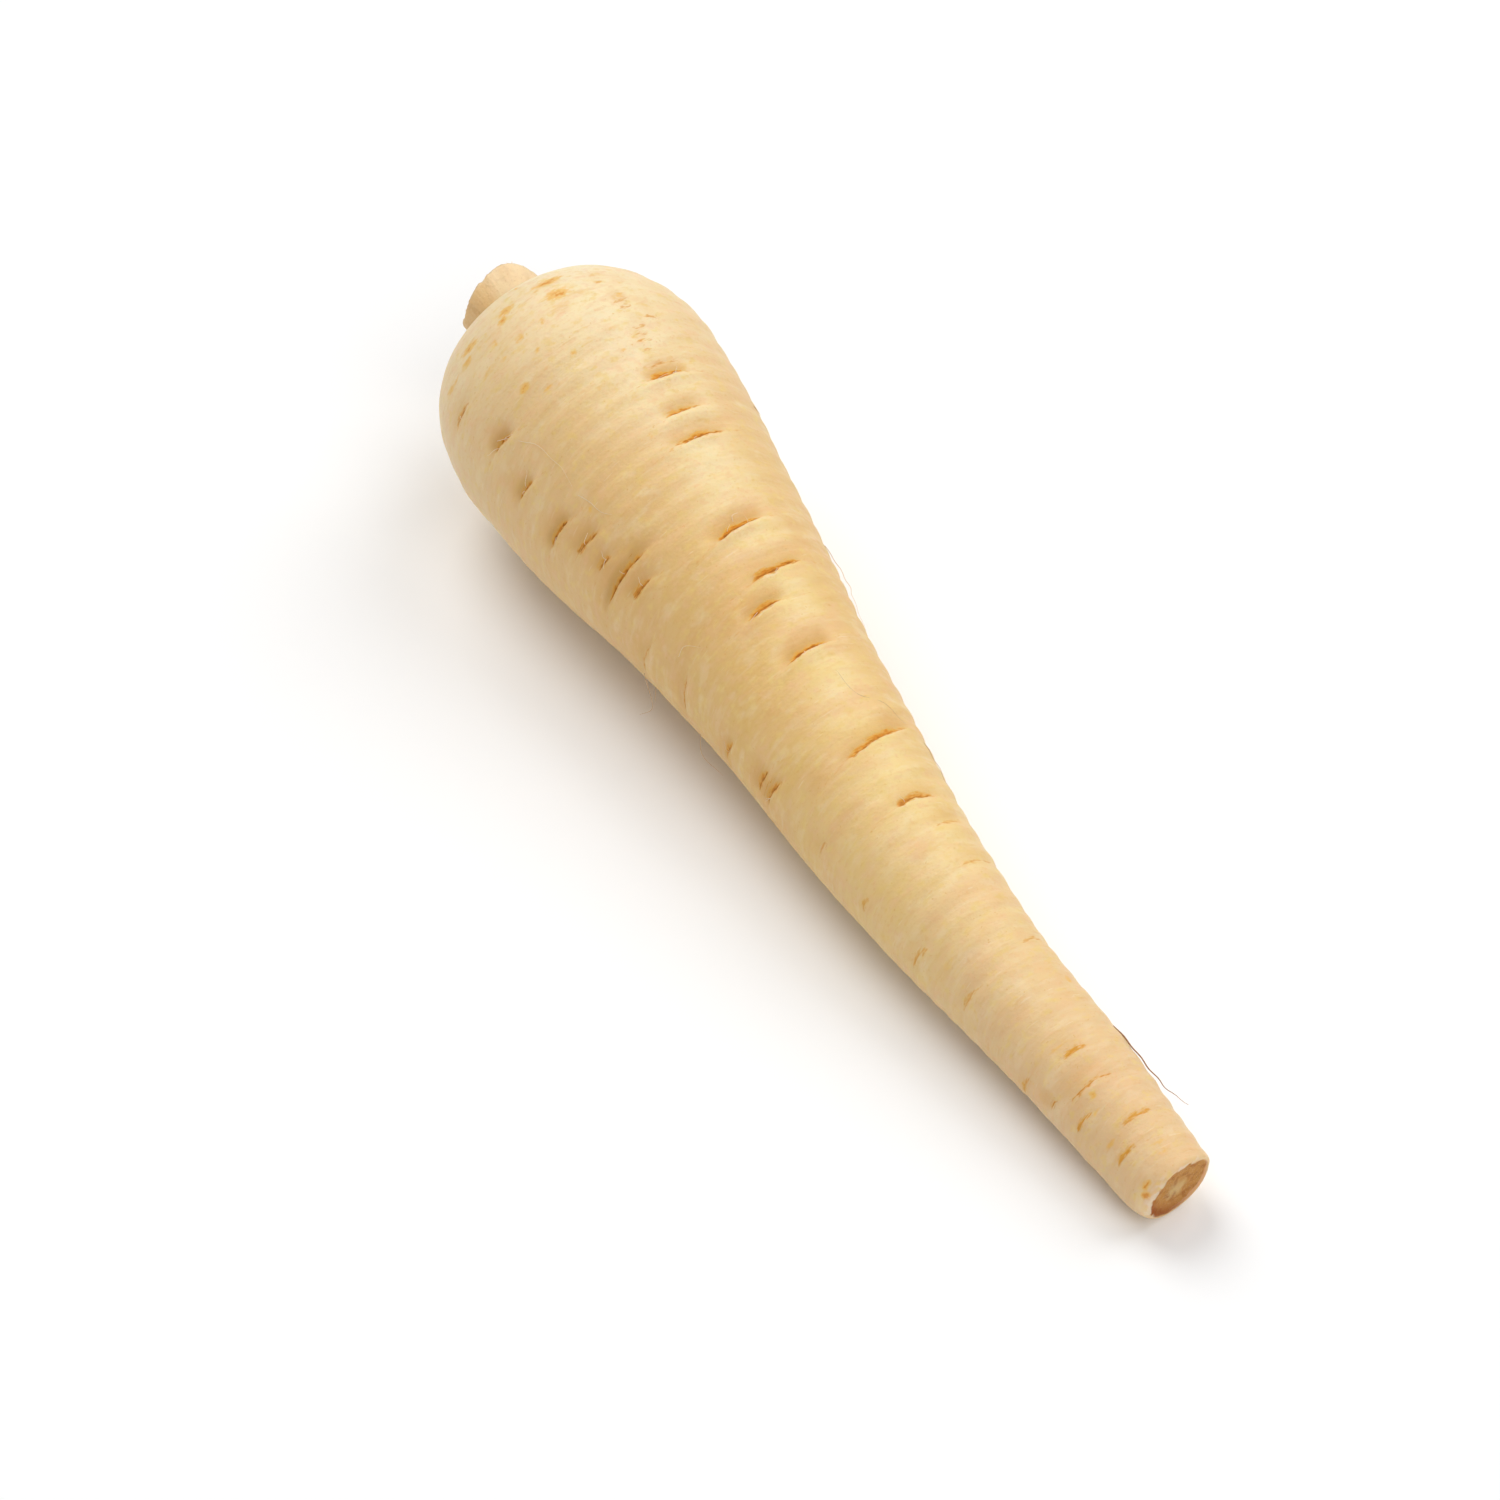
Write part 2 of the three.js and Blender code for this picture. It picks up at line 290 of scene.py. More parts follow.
class Recipe:
    """A material's node tree under construction."""

    def __init__(self, name: str) -> None:
        """Starts a material of this name with no nodes."""
        self.material = bpy.data.materials.new(name)
        self.material.use_nodes = True
        self.tree = self.material.node_tree
        self.tree.nodes.clear()

    @cached_property
    def place(self) -> Socket:
        """The object's own coordinates, for which a node is added when they are first read."""
        return self.add("ShaderNodeTexCoord").outputs["Object"]

    def add(self, kind: str, inputs: dict[Any, Any] | None = None, **settings: Any) -> bpy.types.Node:
        """Adds one node.

        Args:
            kind: The node's type.
            inputs: Input name or number to a value, or to the socket that feeds it.
            settings: The node's own properties.

        Returns:
            The new node.
        """
        made = self.tree.nodes.new(kind)
        for name, value in settings.items():
            setattr(made, name, value)
        for key, value in (inputs or {}).items():
            socket = made.inputs[key]
            if isinstance(value, Socket):
                self.tree.links.new(value, socket)
            else:
                socket.default_value = value
        return made

    def grain(
        self, size_mm: float, round_mm: float | None = None, shift: float = 0.0, detail: float = 3.0
    ) -> Socket:
        """Makes soft random grain from 0 to 1, level at about a half.

        Args:
            size_mm: Size of its features along the root's axis.
            round_mm: Size across the axis, if it is drawn out round the root.
            shift: Moves the grain, so that two grains of a size differ.
            detail: How many finer layers it holds.

        Returns:
            The grain's value.
        """
        across = per_metre(round_mm or size_mm)
        scale = (per_metre(size_mm), across, across)
        inputs = {"Vector": self.place, "Location": (shift,) * 3, "Scale": scale}
        drawn = self.add("ShaderNodeMapping", inputs).outputs[0]
        inputs = {"Vector": drawn, "Scale": 1.0, "Detail": detail}
        return self.add("ShaderNodeTexNoise", inputs).outputs["Fac"]

    def tint(
        self, under: Any, colour: str, driver: Any, low: float, high: float, amount: Any = 1.0
    ) -> Socket:
        """Lays a colour over another where a driving value eases from low to high.

        Args:
            under: The colour beneath, as a hex value or a socket.
            colour: The colour on top.
            driver: The value that decides where.
            low: The driver's value at which the tint starts.
            high: Its value at which the tint is full.
            amount: The full tint's strength, as a number or a socket.

        Returns:
            The joined colour.
        """
        bottom = to_linear(under) if isinstance(under, str) else under
        eased = {"Value": driver, "From Min": low, "From Max": high, "To Min": 0.0, "To Max": amount}
        mask = self.add("ShaderNodeMapRange", eased, interpolation_type="SMOOTHSTEP").outputs[0]
        mix = {0: mask, 6: bottom, 7: to_linear(colour)}
        return self.add("ShaderNodeMix", mix, data_type="RGBA").outputs[2]

    def tints(self, under: Any, *layers: tuple[Any, ...]) -> Socket:
        """Lays tints over a colour in turn; each layer holds what tint takes after the colour beneath."""
        for layer in layers:
            under = self.tint(under, *layer)
        return under

    def band(self, past: Any, wide: Any, before: float, reach: float, rough: Any) -> Socket:
        """Measures how far a point lies outside a band that runs beside a line.

        Args:
            past: Distance past the line, in millimetres.
            wide: Half width of what runs along the line, in millimetres.
            before: How many half widths the band's middle lies before the line.
            reach: How many half widths the band reaches each way from its middle.
            rough: Raggedness of its edges, in millimetres.

        Returns:
            Distance outside the band, negative inside it, in millimetres.
        """
        middle = self.add(MATH, {0: wide, 1: before, 2: past}, operation="MULTIPLY_ADD").outputs[0]
        off = self.add(MATH, {0: middle}, operation="ABSOLUTE").outputs[0]
        outside = self.add(MATH, {0: wide, 1: -reach, 2: off}, operation="MULTIPLY_ADD").outputs[0]
        return self.add(MATH, {0: outside, 1: rough}, operation="ADD").outputs[0]

    def finish(self, looks: dict[str, Any]) -> Material:
        """Ends the material with its shader, given these inputs, and its output."""
        shader = self.add("ShaderNodeBsdfPrincipled", looks)
        self.add("ShaderNodeOutputMaterial", {"Surface": shader.outputs[0]})
        return self.material


# ---- The form of the root, shared by everything that grows on it ----


class ScarKind(Enum):
    """How the scar of a side root looks."""

    SLIT = "slit"    # a narrow sunk slit, orange brown inside
    PIT = "pit"      # a shorter, wider and browner hole
    LINE = "line"    # a thin shallow line
    PATCH = "patch"  # a flat ochre oval with a grainy face


@dataclass(frozen=True)
class Furrow:
    """A scar across the skin where a side root grew.

    Attributes:
        at: Distance along the axis, in millimetres.
        angle: Angle round the axis, in degrees.
        span: Length round the skin, in millimetres.
        depth: Depth of the slit, in millimetres.
        slant: How far the slit runs along the root over its length, in millimetres.
        kind: How it looks.
        stain: Strength of its colour, 0 to 1.
    """

    at: float
    angle: float
    span: float
    depth: float
    slant: float = 0.0
    kind: ScarKind = ScarKind.SLIT
    stain: float = 1.0


SLIT, PIT, LINE, PATCH = ScarKind.SLIT, ScarKind.PIT, ScarKind.LINE, ScarKind.PATCH


@dataclass(frozen=True)
class ScarLook:
    """How a kind of scar shows.

    Attributes:
        gold: Strength of its golden edge, 0 to 1.
        orange: Strength of its orange middle.
        core: Strength of its dark core.
        half_width: Half width of the stain at its widest, in millimetres.
        sunk: Depth of the slit as a share of the furrow's depth.
        swollen: Strength of the dent and the lip beside it.
        skew: How much wider it is at its lower angles than at its higher ones.
        ahead: How many half widths the stain is moved towards the tip.
        lip: Strength of the painted highlight, a pale band on the lip beside it.
        trail: Half width of the stained crease that carries it on, in millimetres.
        reach: How far from the slit's line the stain can lie, in millimetres.
    """

    gold: float
    orange: float
    core: float
    half_width: float
    sunk: float
    swollen: float
    skew: float
    ahead: float
    lip: float
    trail: float
    reach: float


SCAR_MARKS = (
    "scar_past", "scar_wide", "scar_gold", "scar_orange", "scar_core", "scar_painted_highlight", "painted_valley_shade", "blush", "fleck",
)
SCAR_LOOKS = {
    SLIT: ScarLook(1.0, 1.0, 0.9, 0.5, 0.8, 1.0, 0.35, 0.1, 0.8, 0.13, 1.9),
    PIT: ScarLook(0.8, 0.9, 1.0, 0.5, 0.8, 0.9, 0.1, 0.45, 0.0, 0.13, 1.9),
    LINE: ScarLook(0.85, 0.8, 0.25, 0.3, 0.5, 0.7, 0.2, 0.2, 0.0, 0.02, 0.65),
    PATCH: ScarLook(1.0, 0.5, 0.1, 0.37, 0.2, 0.15, 0.0, 0.45, 0.0, 0.02, 1.9),
}

# Each row holds a furrow's own values in order, as Furrow lists them.
CLEAR_FURROWS = tuple(Furrow(*row) for row in (
    # fine creases on the shoulder
    (14.4, 15, 2.8, 0.25, 0, LINE, 0.5), (20.9, 16.3, 3.0, 0.25, 0.3, LINE, 0.75),
    (22.6, 16, 2.6, 0.2, 0, LINE, 0.6), (26.6, 23.5, 2.8, 0.2, 1.0, LINE, 0.6),
    (28.3, 16.5, 3.4, 0.25, 0.3, LINE, 0.65), (29.9, 14, 2.8, 0.2, 0.3, LINE, 0.5),
    (31.6, 13.5, 3.0, 0.25, 0.2, LINE, 0.65), (33.8, 13, 2.4, 0.2, 0, LINE, 0.4),
    (37.6, 17, 7.5, 0.5, 0, LINE, 0.6),
    # the upper rank
    (40.5, 15, 9, 1.0, 0, SLIT, 0.9), (49, 12, 8.5, 0.8, -0.8, SLIT, 0.8),
    (55.5, 12, 12, 0.8, -0.7, SLIT, 0.85), (76.5, 4, 10.5, 1.1, -1.2, SLIT, 1.0),
    (87.5, 11, 11.5, 0.7, -1.0, SLIT, 0.9), (94, -7, 8, 0.9, -0.5, SLIT, 0.9),
    (105.5, 3, 9.5, 1.1, -1.0, SLIT, 1.0), (128, 15, 16.5, 0.9, -2.4, SLIT, 0.8),
    (142.5, 14, 9.5, 0.6, 0, SLIT, 0.7), (149, 31, 8, 0.4, -0.7, LINE, 0.7),
    (158.5, 35, 10, 0.4, -0.5, LINE, 0.6), (177.5, 33, 6, 0.3, 0, LINE, 0.55),
    (201.6, -14, 5.5, 0.4, 0, PATCH, 1.0), (208.7, -24, 9.5, 0.4, 0, LINE, 0.8),
    (218.6, -5, 6.4, 0.4, 0, PATCH, 0.9),
    # the rank on the -Y side
    (19, -68, 7.5, 0.7, 0, PIT, 0.5), (31, -60, 6, 1.1, 1.0, PIT, 0.9), (41, -67, 6, 1.0, 0.8, PIT, 0.8),
    (52.5, -69, 8.5, 1.1, 1.0, PIT, 1.0), (59, -61, 7, 0.8, 1.2, PIT, 0.8),
    (64.5, -62, 5, 0.7, 0.5, PIT, 0.7), (69.5, -60, 15, 1.2, 0, PIT, 1.0),
    (74, -56, 6, 0.8, 0.4, PIT, 0.8), (81.5, -89, 10, 0.6, 0.5, LINE, 0.8),
    (93.5, -84, 9.5, 0.5, -1.8, LINE, 0.9), (108.5, -89, 8, 0.6, 1.0, SLIT, 0.7),
    (119, -77, 6, 0.6, 0.3, PIT, 0.8), (122.5, -76, 7.5, 0.7, 1.0, PIT, 0.8),
    (138.5, -71, 3.5, 0.3, 0, LINE, 0.5), (152.5, -74, 4, 0.4, 0, PATCH, 0.7),
    (167.5, -72, 6.5, 0.5, 0.5, PATCH, 0.7), (180.5, -62, 7, 0.5, 0, PATCH, 0.6),
    (199.3, -88, 6, 0.4, 0, PATCH, 0.8), (206.3, -73, 3, 0.3, 0, LINE, 0.9),
    (212.9, -58, 5.6, 0.4, 0, PATCH, 1.0), (223, -44, 5.6, 0.4, 0, PATCH, 1.0),
))


@dataclass(frozen=True)
class DrawnRank:
    """A rank of furrows drawn by a seeded rule. Lengths are in millimetres, angles in degrees."""

    angle: float
    seed: int
    start: float = 16.0
    end: float = 222.0
    least_gap: float = 8.0
    gap_spread: float = 11.0
    angle_spread: float = 26.0
    slant_spread: float = 1.6
    draws: int = 200


@dataclass
class RootForm:
    """The plain form of the root and how it lies. Lengths are in millimetres, angles in degrees."""

    length: float = 231.5
    shoulder_radius: float = 29.6
    shoulder_depth: float = 25.0
    shoulder_squareness: float = 2.2
    rim_radius: float = 11.0
    hollow_depth: float = 5.5
    hollow_floor_radius: float = 9.1
    hollow_shift_y: float = -1.2
    hollow_shift_z: float = 2.0
    tip_rounding: float = 7.0
    tip_edge_drop: float = 2.0
    tip_cut_slant: float = 7.0
    tip_cut_long_side: float = -114.0
    shoulder_rest: float = 32.0
    tip_rest: float = 227.0
    shoulder_flat: float = 0.6
    tip_flat: float = 0.5
    swell_fade: float = 15.0
    slit_depth: float = 0.55
    taper: tuple[tuple[float, float], ...] = (
        (25, 29.6), (50, 26.8), (75, 22.6), (100, 19), (125, 16.3),
        (150, 14.2), (175, 11.7), (200, 10.3), (220, 9), (231.5, 8.6),
    )
    bends: tuple[tuple[float, float], ...] = (
        (0, -0.9), (40, -0.7), (80, -0.9), (120, -3.1), (160, -3.8), (200, -1.6), (231.5, 0),
    )
    drawn_ranks: tuple[DrawnRank, ...] = (DrawnRank(103, 41), DrawnRank(-165, 97))
    furrows: list[Furrow] = field(default_factory=list)
    tilt: float = 0.0
    axis_height: float = 0.0
    centring: tuple[float, float] = (0.0, 0.0)

    def __post_init__(self) -> None:
        """Works out the tilt at which the root rests and gathers its furrows."""
        shoulder, tip = self.radius(np.array([self.shoulder_rest, self.tip_rest]))
        fall = shoulder - self.shoulder_flat - tip + self.tip_flat
        self.tilt = math.atan(fall / (self.tip_rest - self.shoulder_rest))
        self.axis_height = (
            self.shoulder_rest * math.sin(self.tilt) + shoulder * math.cos(self.tilt) - self.shoulder_flat
        )
        self.furrows = list(CLEAR_FURROWS)
        for rank in self.drawn_ranks:
            self.furrows += self.draw_rank(rank)

    def radius(self, along: Array) -> Array:
        """Radius of the body at a distance along the axis."""
        return smooth_through(self.taper, along)

    def bend(self, along: Array) -> Array:
        """Sideways bend of the axis at a distance along it."""
        return smooth_through(self.bends, np.maximum(along, 0.0))

    def draw_rank(self, rank: DrawnRank) -> list[Furrow]:
        """Spaces furrows 8 to 19 mm apart down the root, shorter and shallower where it is thinner."""
        numbers = iter(seeded_numbers(rank.seed, rank.draws))
        furrows = []
        at = rank.start + rank.least_gap * next(numbers)
        while at < rank.end:
            plumpness = 0.5 + 0.5 * float(self.radius(np.array(at))) / self.shoulder_radius
            turned = rank.angle + rank.angle_spread * (next(numbers) - 0.5)
            span = (4 + 8 * next(numbers)) * plumpness
            depth = (0.4 + 0.7 * next(numbers)) * plumpness
            slant = rank.slant_spread * (next(numbers) - 0.5)
            kind = SLIT if depth > self.slit_depth else LINE
            furrows.append(Furrow(at, turned, span, depth, slant, kind, 0.55 + 0.45 * plumpness * depth))
            at += rank.least_gap + rank.gap_spread * next(numbers)
        return furrows

    def swells(self, along: Array, angle: Array) -> Array:
        """Slow swells and shallow ring wrinkles: sums of sines of the distance and the angle."""
        swell = 0.3 * np.sin(along / 9 + 2 * np.cos(angle)) * np.cos(2 * angle + along / 31)
        swell = swell + 0.25 * np.sin(along / 17 + 1.3) * np.cos(angle - 0.6)
        rings = 0.13 * np.sin(along * 1.25 + 1.5 * np.sin(angle) + np.sin(along / 7))
        ring_fade = 0.5 + 0.5 * np.cos(angle - 0.7 + np.sin(along / 23))
        from_ends = clamp01(along / self.swell_fade) * clamp01((self.length - along) / self.swell_fade)
        return (swell + rings * ring_fade) * from_ends

    def lay(self, along: Array, y: Array, z: Array) -> Array:
        """Tips points of the root's frame to the angle at which it rests and moves them to the floor.

        Args:
            along: Distance along the axis, in millimetres.
            y: Distance sideways from the axis.
            z: Distance upwards from the axis.

        Returns:
            Places in metres, with nothing below the floor.
        """
        x = along * math.cos(self.tilt) + z * math.sin(self.tilt)
        height = self.axis_height - along * math.sin(self.tilt) + z * math.cos(self.tilt)
        centre_x, centre_y = self.centring
        placed = np.stack([x - centre_x, y + self.bend(along) - centre_y, np.maximum(height, 0.0)], axis=-1)
        return placed * MM

    def centre_on(self, box: tuple[Vector, Vector], places: Array) -> None:
        """Moves the frame sideways so that the root's places are centred on its packed box."""
        low, high = places.min(axis=(0, 1)), places.max(axis=(0, 1))
        wanted = (np.array(box[0]) + np.array(box[1])) / 2
        off = ((low + high) / 2 - wanted) / MM
        self.centring = (self.centring[0] + off[0], self.centring[1] + off[1])

    def place(self, along: Array, radius: Array, angle: Array) -> Array:
        """Places points at a radius and angle, with the shifted hollow and the slanted tip cut.

        Args:
            along: Distance along the axis, in millimetres.
            radius: Distance from the axis.
            angle: Angle round the axis, in radians.

        Returns:
            Places in metres.
        """
        shift = np.where(along < self.shoulder_depth, 1 - (radius / self.shoulder_radius) ** 2, 0.0)
        slant = math.tan(math.radians(self.tip_cut_slant)) * facing(angle, self.tip_cut_long_side)
        near_tip = clamp01((along - self.length + 2 * self.tip_rounding) / (2 * self.tip_rounding))
        return self.lay(
            along + radius * slant * near_tip,
            self.hollow_shift_y * shift + radius * np.sin(angle),
            self.hollow_shift_z * shift + radius * np.cos(angle),
        )


# ---- Taproot ----


@dataclass(frozen=True)
class ParsnipSkin:
    """Fresh washed parsnip: a thin satin skin over pale, slightly see-through flesh.

    Light sinks a few millimetres into the flesh, so shade stays warm, and the moist skin gives broad
    soft highlights. Scars are corky, so they are orange to brown, grainy and dull. The colour also
    holds painted light: warm bounce light on the sides, shade in the dents above the scars,
    highlights on their lips and shade on the lower side of the tip cut.
    """

    cream: str = "#F8DCA0"
    pale: str = "#FDECC8"
    yellow: str = "#F4D78D"
    peach: str = "#F1C592"
    straw: str = "#F0CF82"
    # amber is the streaks' own tone, and also the painted warm bounce light on the sides
    amber: str = "#E3B062"
    tip_beige: str = "#EBC696"
    # painted shade in the dent on the crown's side of each scar
    painted_valley_shade: str = "#D0A057"
    blush: str = "#E4AE66"
    speck: str = "#DDA84E"
    fleck_soft: str = "#F1C068"
    fleck: str = "#E3963A"
    scar_gold: str = "#E8AF4E"
    scar_orange: str = "#DC8C28"
    scar_core: str = "#A86318"
    # lip: the painted highlight on the scars' swollen lips
    lip: str = "#FBE3BE"
    torn: str = "#F1D6B6"
    cut_pith: str = "#DBB67C"
    cut_ring: str = "#CB9049"
    cut_dark: str = "#A65C25"
    cut_rim: str = "#E3AE7C"
    crown_stain: str = "#C39560"
    roughness: float = 0.46
    scar_roughness: float = 0.8
    scatter_mm: float = 3.0
    relief_mm: float = 0.16

    def material(self) -> Material:
        """Builds the skin from mottles, streaks and the marks stored on the root."""
        recipe = Recipe("parsnip_skin_washed")
        add, grain, tint, tints, band = recipe.add, recipe.grain, recipe.tint, recipe.tints, recipe.band
        marks = {name: add("ShaderNodeAttribute", attribute_name=name).outputs["Fac"] for name in SKIN_MARKS}
        broad, patchy, mottle = grain(26), grain(7, 13, 5.3, 2), grain(3, 6, 2.1, 2)
        streaks, dashes = grain(1.3, 8, 3.9, 2), grain(0.75, 4.2, 7.1)
        fine, grit = grain(0.7, 1.1, 8.8, 2), grain(0.36, shift=1.7, detail=2)
        specks, scratches = grain(0.55, 0.75, 11.3, 1), grain(0.5, 4.5, 13.7, 1)
        blotch, fibres = grain(1.6, 2.6, 15.1, 4), grain(0.28, 1.3, 1.7, 2)
        axis = add("ShaderNodeSeparateXYZ", {0: recipe.place}).outputs[0]

        dashed = add(MATH, {0: dashes, 1: broad}, operation="ADD").outputs[0]
        spotted = add(MATH, {0: marks["fleck"], 1: grain(0.55, 1.1, 4.9)}, operation="MULTIPLY").outputs[0]
        crown = add(MATH, {0: marks["crown"], 1: mottle}, operation="MULTIPLY").outputs[0]
        colour = tints(
            self.cream,
            (self.yellow, broad, 0.46, 0.64, 0.6),
            (self.peach, patchy, 0.5, 0.64, 0.45),
            (self.yellow, patchy, 0.48, 0.34, 0.5),
            (self.pale, axis, 0.0, -0.1, 0.7),
            # painted light: warm bounce light and warm shade on both sides of the upper body
            (self.amber, marks["amber"], 0.0, 1.0, 0.6),
            (self.tip_beige, axis, 0.02, 0.1, 0.85),
            (self.straw, blotch, 0.52, 0.7, 0.6),
            (self.peach, blotch, 0.46, 0.3, 0.4),
            (self.peach, mottle, 0.54, 0.7, 0.35),
            (self.pale, mottle, 0.46, 0.3, 0.18),
            (self.amber, streaks, 0.54, 0.72, 0.16),
            (self.pale, streaks, 0.46, 0.3, 0.12),
            (self.blush, dashed, 1.2, 1.36, 0.35),
            (self.amber, fine, 0.55, 0.75, 0.2),
            (self.pale, scratches, 0.71, 0.79, 0.25),
            (self.speck, specks, 0.72, 0.79, 0.4),
            (self.blush, marks["blush"], 0.0, 1.1, 0.5),
            # painted shade in the dents above the scars
            (self.painted_valley_shade, marks["painted_valley_shade"], 0.0, 1.0, 0.6),
            (self.fleck_soft, spotted, 0.08, 0.34, 0.9),
            (self.fleck, spotted, 0.36, 0.58, 0.85),
            (self.crown_stain, crown, 0.12, 0.55, 0.8),
        )

        uneven = add(MATH, {0: grain(0.5, 1.8, 9.4, 2), 1: 1.4, 2: -0.7}, operation="MULTIPLY_ADD")
        past = add(MATH, {0: marks["scar_past"], 1: uneven.outputs[0]}, operation="ADD").outputs[0]
        rough = add(MATH, {0: fibres, 1: 1.3, 2: -0.65}, operation="MULTIPLY_ADD").outputs[0]
        wide = marks["scar_wide"]
        colour = tints(
            colour,
            # painted highlight: a pale band along the lip beside each slit
            (self.lip, band(past, wide, -0.85, 0.45, rough), 0.0, -0.3, marks["scar_painted_highlight"]),
            (self.scar_gold, band(past, wide, 0.9, 1.8, rough), 0.15, -0.65, marks["scar_gold"]),
            (self.scar_orange, band(past, wide, 0.55, 1.1, rough), 0.05, -0.4, marks["scar_orange"]),
            (self.scar_core, band(past, wide, 0.3, 0.45, rough), 0.1, -0.3, marks["scar_core"]),
        )

        wavy = add(MATH, {0: grain(2.2, shift=6.2, detail=4), 1: 0.5, 2: -0.25}, operation="MULTIPLY_ADD")
        reach = add(MATH, {0: marks["cut_reach"], 1: wavy.outputs[0]}, operation="ADD").outputs[0]
        face = tints(
            self.cut_pith,
            (self.cut_ring, reach, 0.12, 0.45),
            (self.cut_dark, grain(1.6, shift=4.4, detail=5), 0.46, 0.66, 0.6),
            (self.cut_pith, grit, 0.5, 0.7, 0.35),
            (self.cut_rim, marks["cut_reach"], 0.93, 1.0),
            (self.cut_dark, marks["cut_shade"], 0.1, 0.75, 0.95),
        )
        colour = add("ShaderNodeMix", {0: marks["cut"], 6: colour, 7: face}, data_type="RGBA").outputs[2]
        fringe = add(MATH, {0: marks["torn"], 1: fine}, operation="MULTIPLY").outputs[0]
        colour = tint(colour, self.torn, fringe, 0.1, 0.45)

        dull = add(MATH, {0: wide, 1: marks["cut"]}, operation="MAXIMUM").outputs[0]
        matt = {
            "Value": dull, "From Min": 0.0, "From Max": 0.4,
            "To Min": self.roughness, "To Max": self.scar_roughness,
        }
        relief = add(MATH, {0: streaks, 1: 1.2, 2: fine}, operation="MULTIPLY_ADD").outputs[0]
        gritty = add(MATH, {0: grit, 1: dull}, operation="MULTIPLY").outputs[0]
        relief = add(MATH, {0: gritty, 1: 2.5, 2: relief}, operation="MULTIPLY_ADD").outputs[0]
        bump = add("ShaderNodeBump", {"Height": relief, "Distance": self.relief_mm * MM, "Strength": 0.8})
        return recipe.finish({
            "Base Color": colour,
            "Roughness": add("ShaderNodeMapRange", matt).outputs[0],
            "Normal": bump.outputs[0],
            "IOR": 1.4,
            "Specular IOR Level": 0.4,
            "Subsurface Weight": 0.25,
            "Subsurface Radius": (1.0, 0.5, 0.2),
            "Subsurface Scale": self.scatter_mm * MM,
        })


@dataclass(frozen=True)
class Fleck:
    """A small stained spot on the skin: its place, half-sizes in millimetres and strength."""

    at: float
    angle: float
    half_round: float = 0.9
    half_along: float = 0.45
    strength: float = 0.8


FLECKS = tuple(Fleck(*row) for row in (
    (4.6, -13.5, 0.4, 0.4, 0.9), (8.6, -2.5, 2.4, 0.7, 1.1), (10.3, -10, 0.8, 0.5, 0.6),
    (13.4, -3.5, 1.7, 1.1, 1.1), (9.4, -25, 1.6, 0.8, 0.95), (11.5, -28.5, 0.8, 0.6, 1.2),
    (14.3, 14.5, 1.1, 0.5, 0.6), (17.6, -16, 0.6, 0.5, 0.8), (20.5, -16.5, 0.4, 0.4, 0.7),
    (17.9, -27, 0.8, 0.6, 0.8), (14.6, -36.5, 0.5, 0.9, 0.6), (9.8, -47.5, 1.9, 0.8, 0.95),
    (12.4, -51.5, 1.4, 0.6, 0.9), (12.5, -65, 2.6, 0.5, 0.7), (18.5, -45, 2.4, 0.5, 0.5),
    (18.9, -37, 1.0, 0.7, 0.5), (19.5, 17.5, 0.8, 0.6, 0.7), (22.6, -24.5, 0.6, 0.4, 0.8),
    (24.4, -24.5, 0.5, 0.3, 0.7), (27.9, -14, 0.8, 0.6, 0.6), (26.8, -6, 0.9, 0.5, 0.4),
    (27.5, -37.5, 0.8, 0.7, 1.3), (30.7, -30, 0.9, 0.4, 0.7), (32.4, 3.5, 0.7, 0.4, 0.5),
    (37.5, -13, 1.2, 0.6, 0.5), (56, -48, 0.4, 0.4, 0.8), (51.5, -7.5, 0.5, 0.5, 0.6),
    (187.5, 41, 0.6, 0.5, 0.9), (173.5, -52, 2.5, 0.4, 0.5), (199.4, -26, 1.5, 0.25, 0.6),
    (210.6, -28, 0.45, 0.45, 1.0), (213.8, -38, 1.1, 0.25, 0.6), (219.7, -51, 1.1, 0.3, 0.8),
    (225, -1, 1.7, 0.25, 0.7), (227, -4, 1.6, 1.1, 0.4), (229.4, -51, 0.8, 0.35, 1.3),
    (230.4, -64, 0.6, 0.5, 1.5),
))

SKIN_MARKS = SCAR_MARKS + ("amber", "crown", "cut", "cut_reach", "cut_shade", "torn")


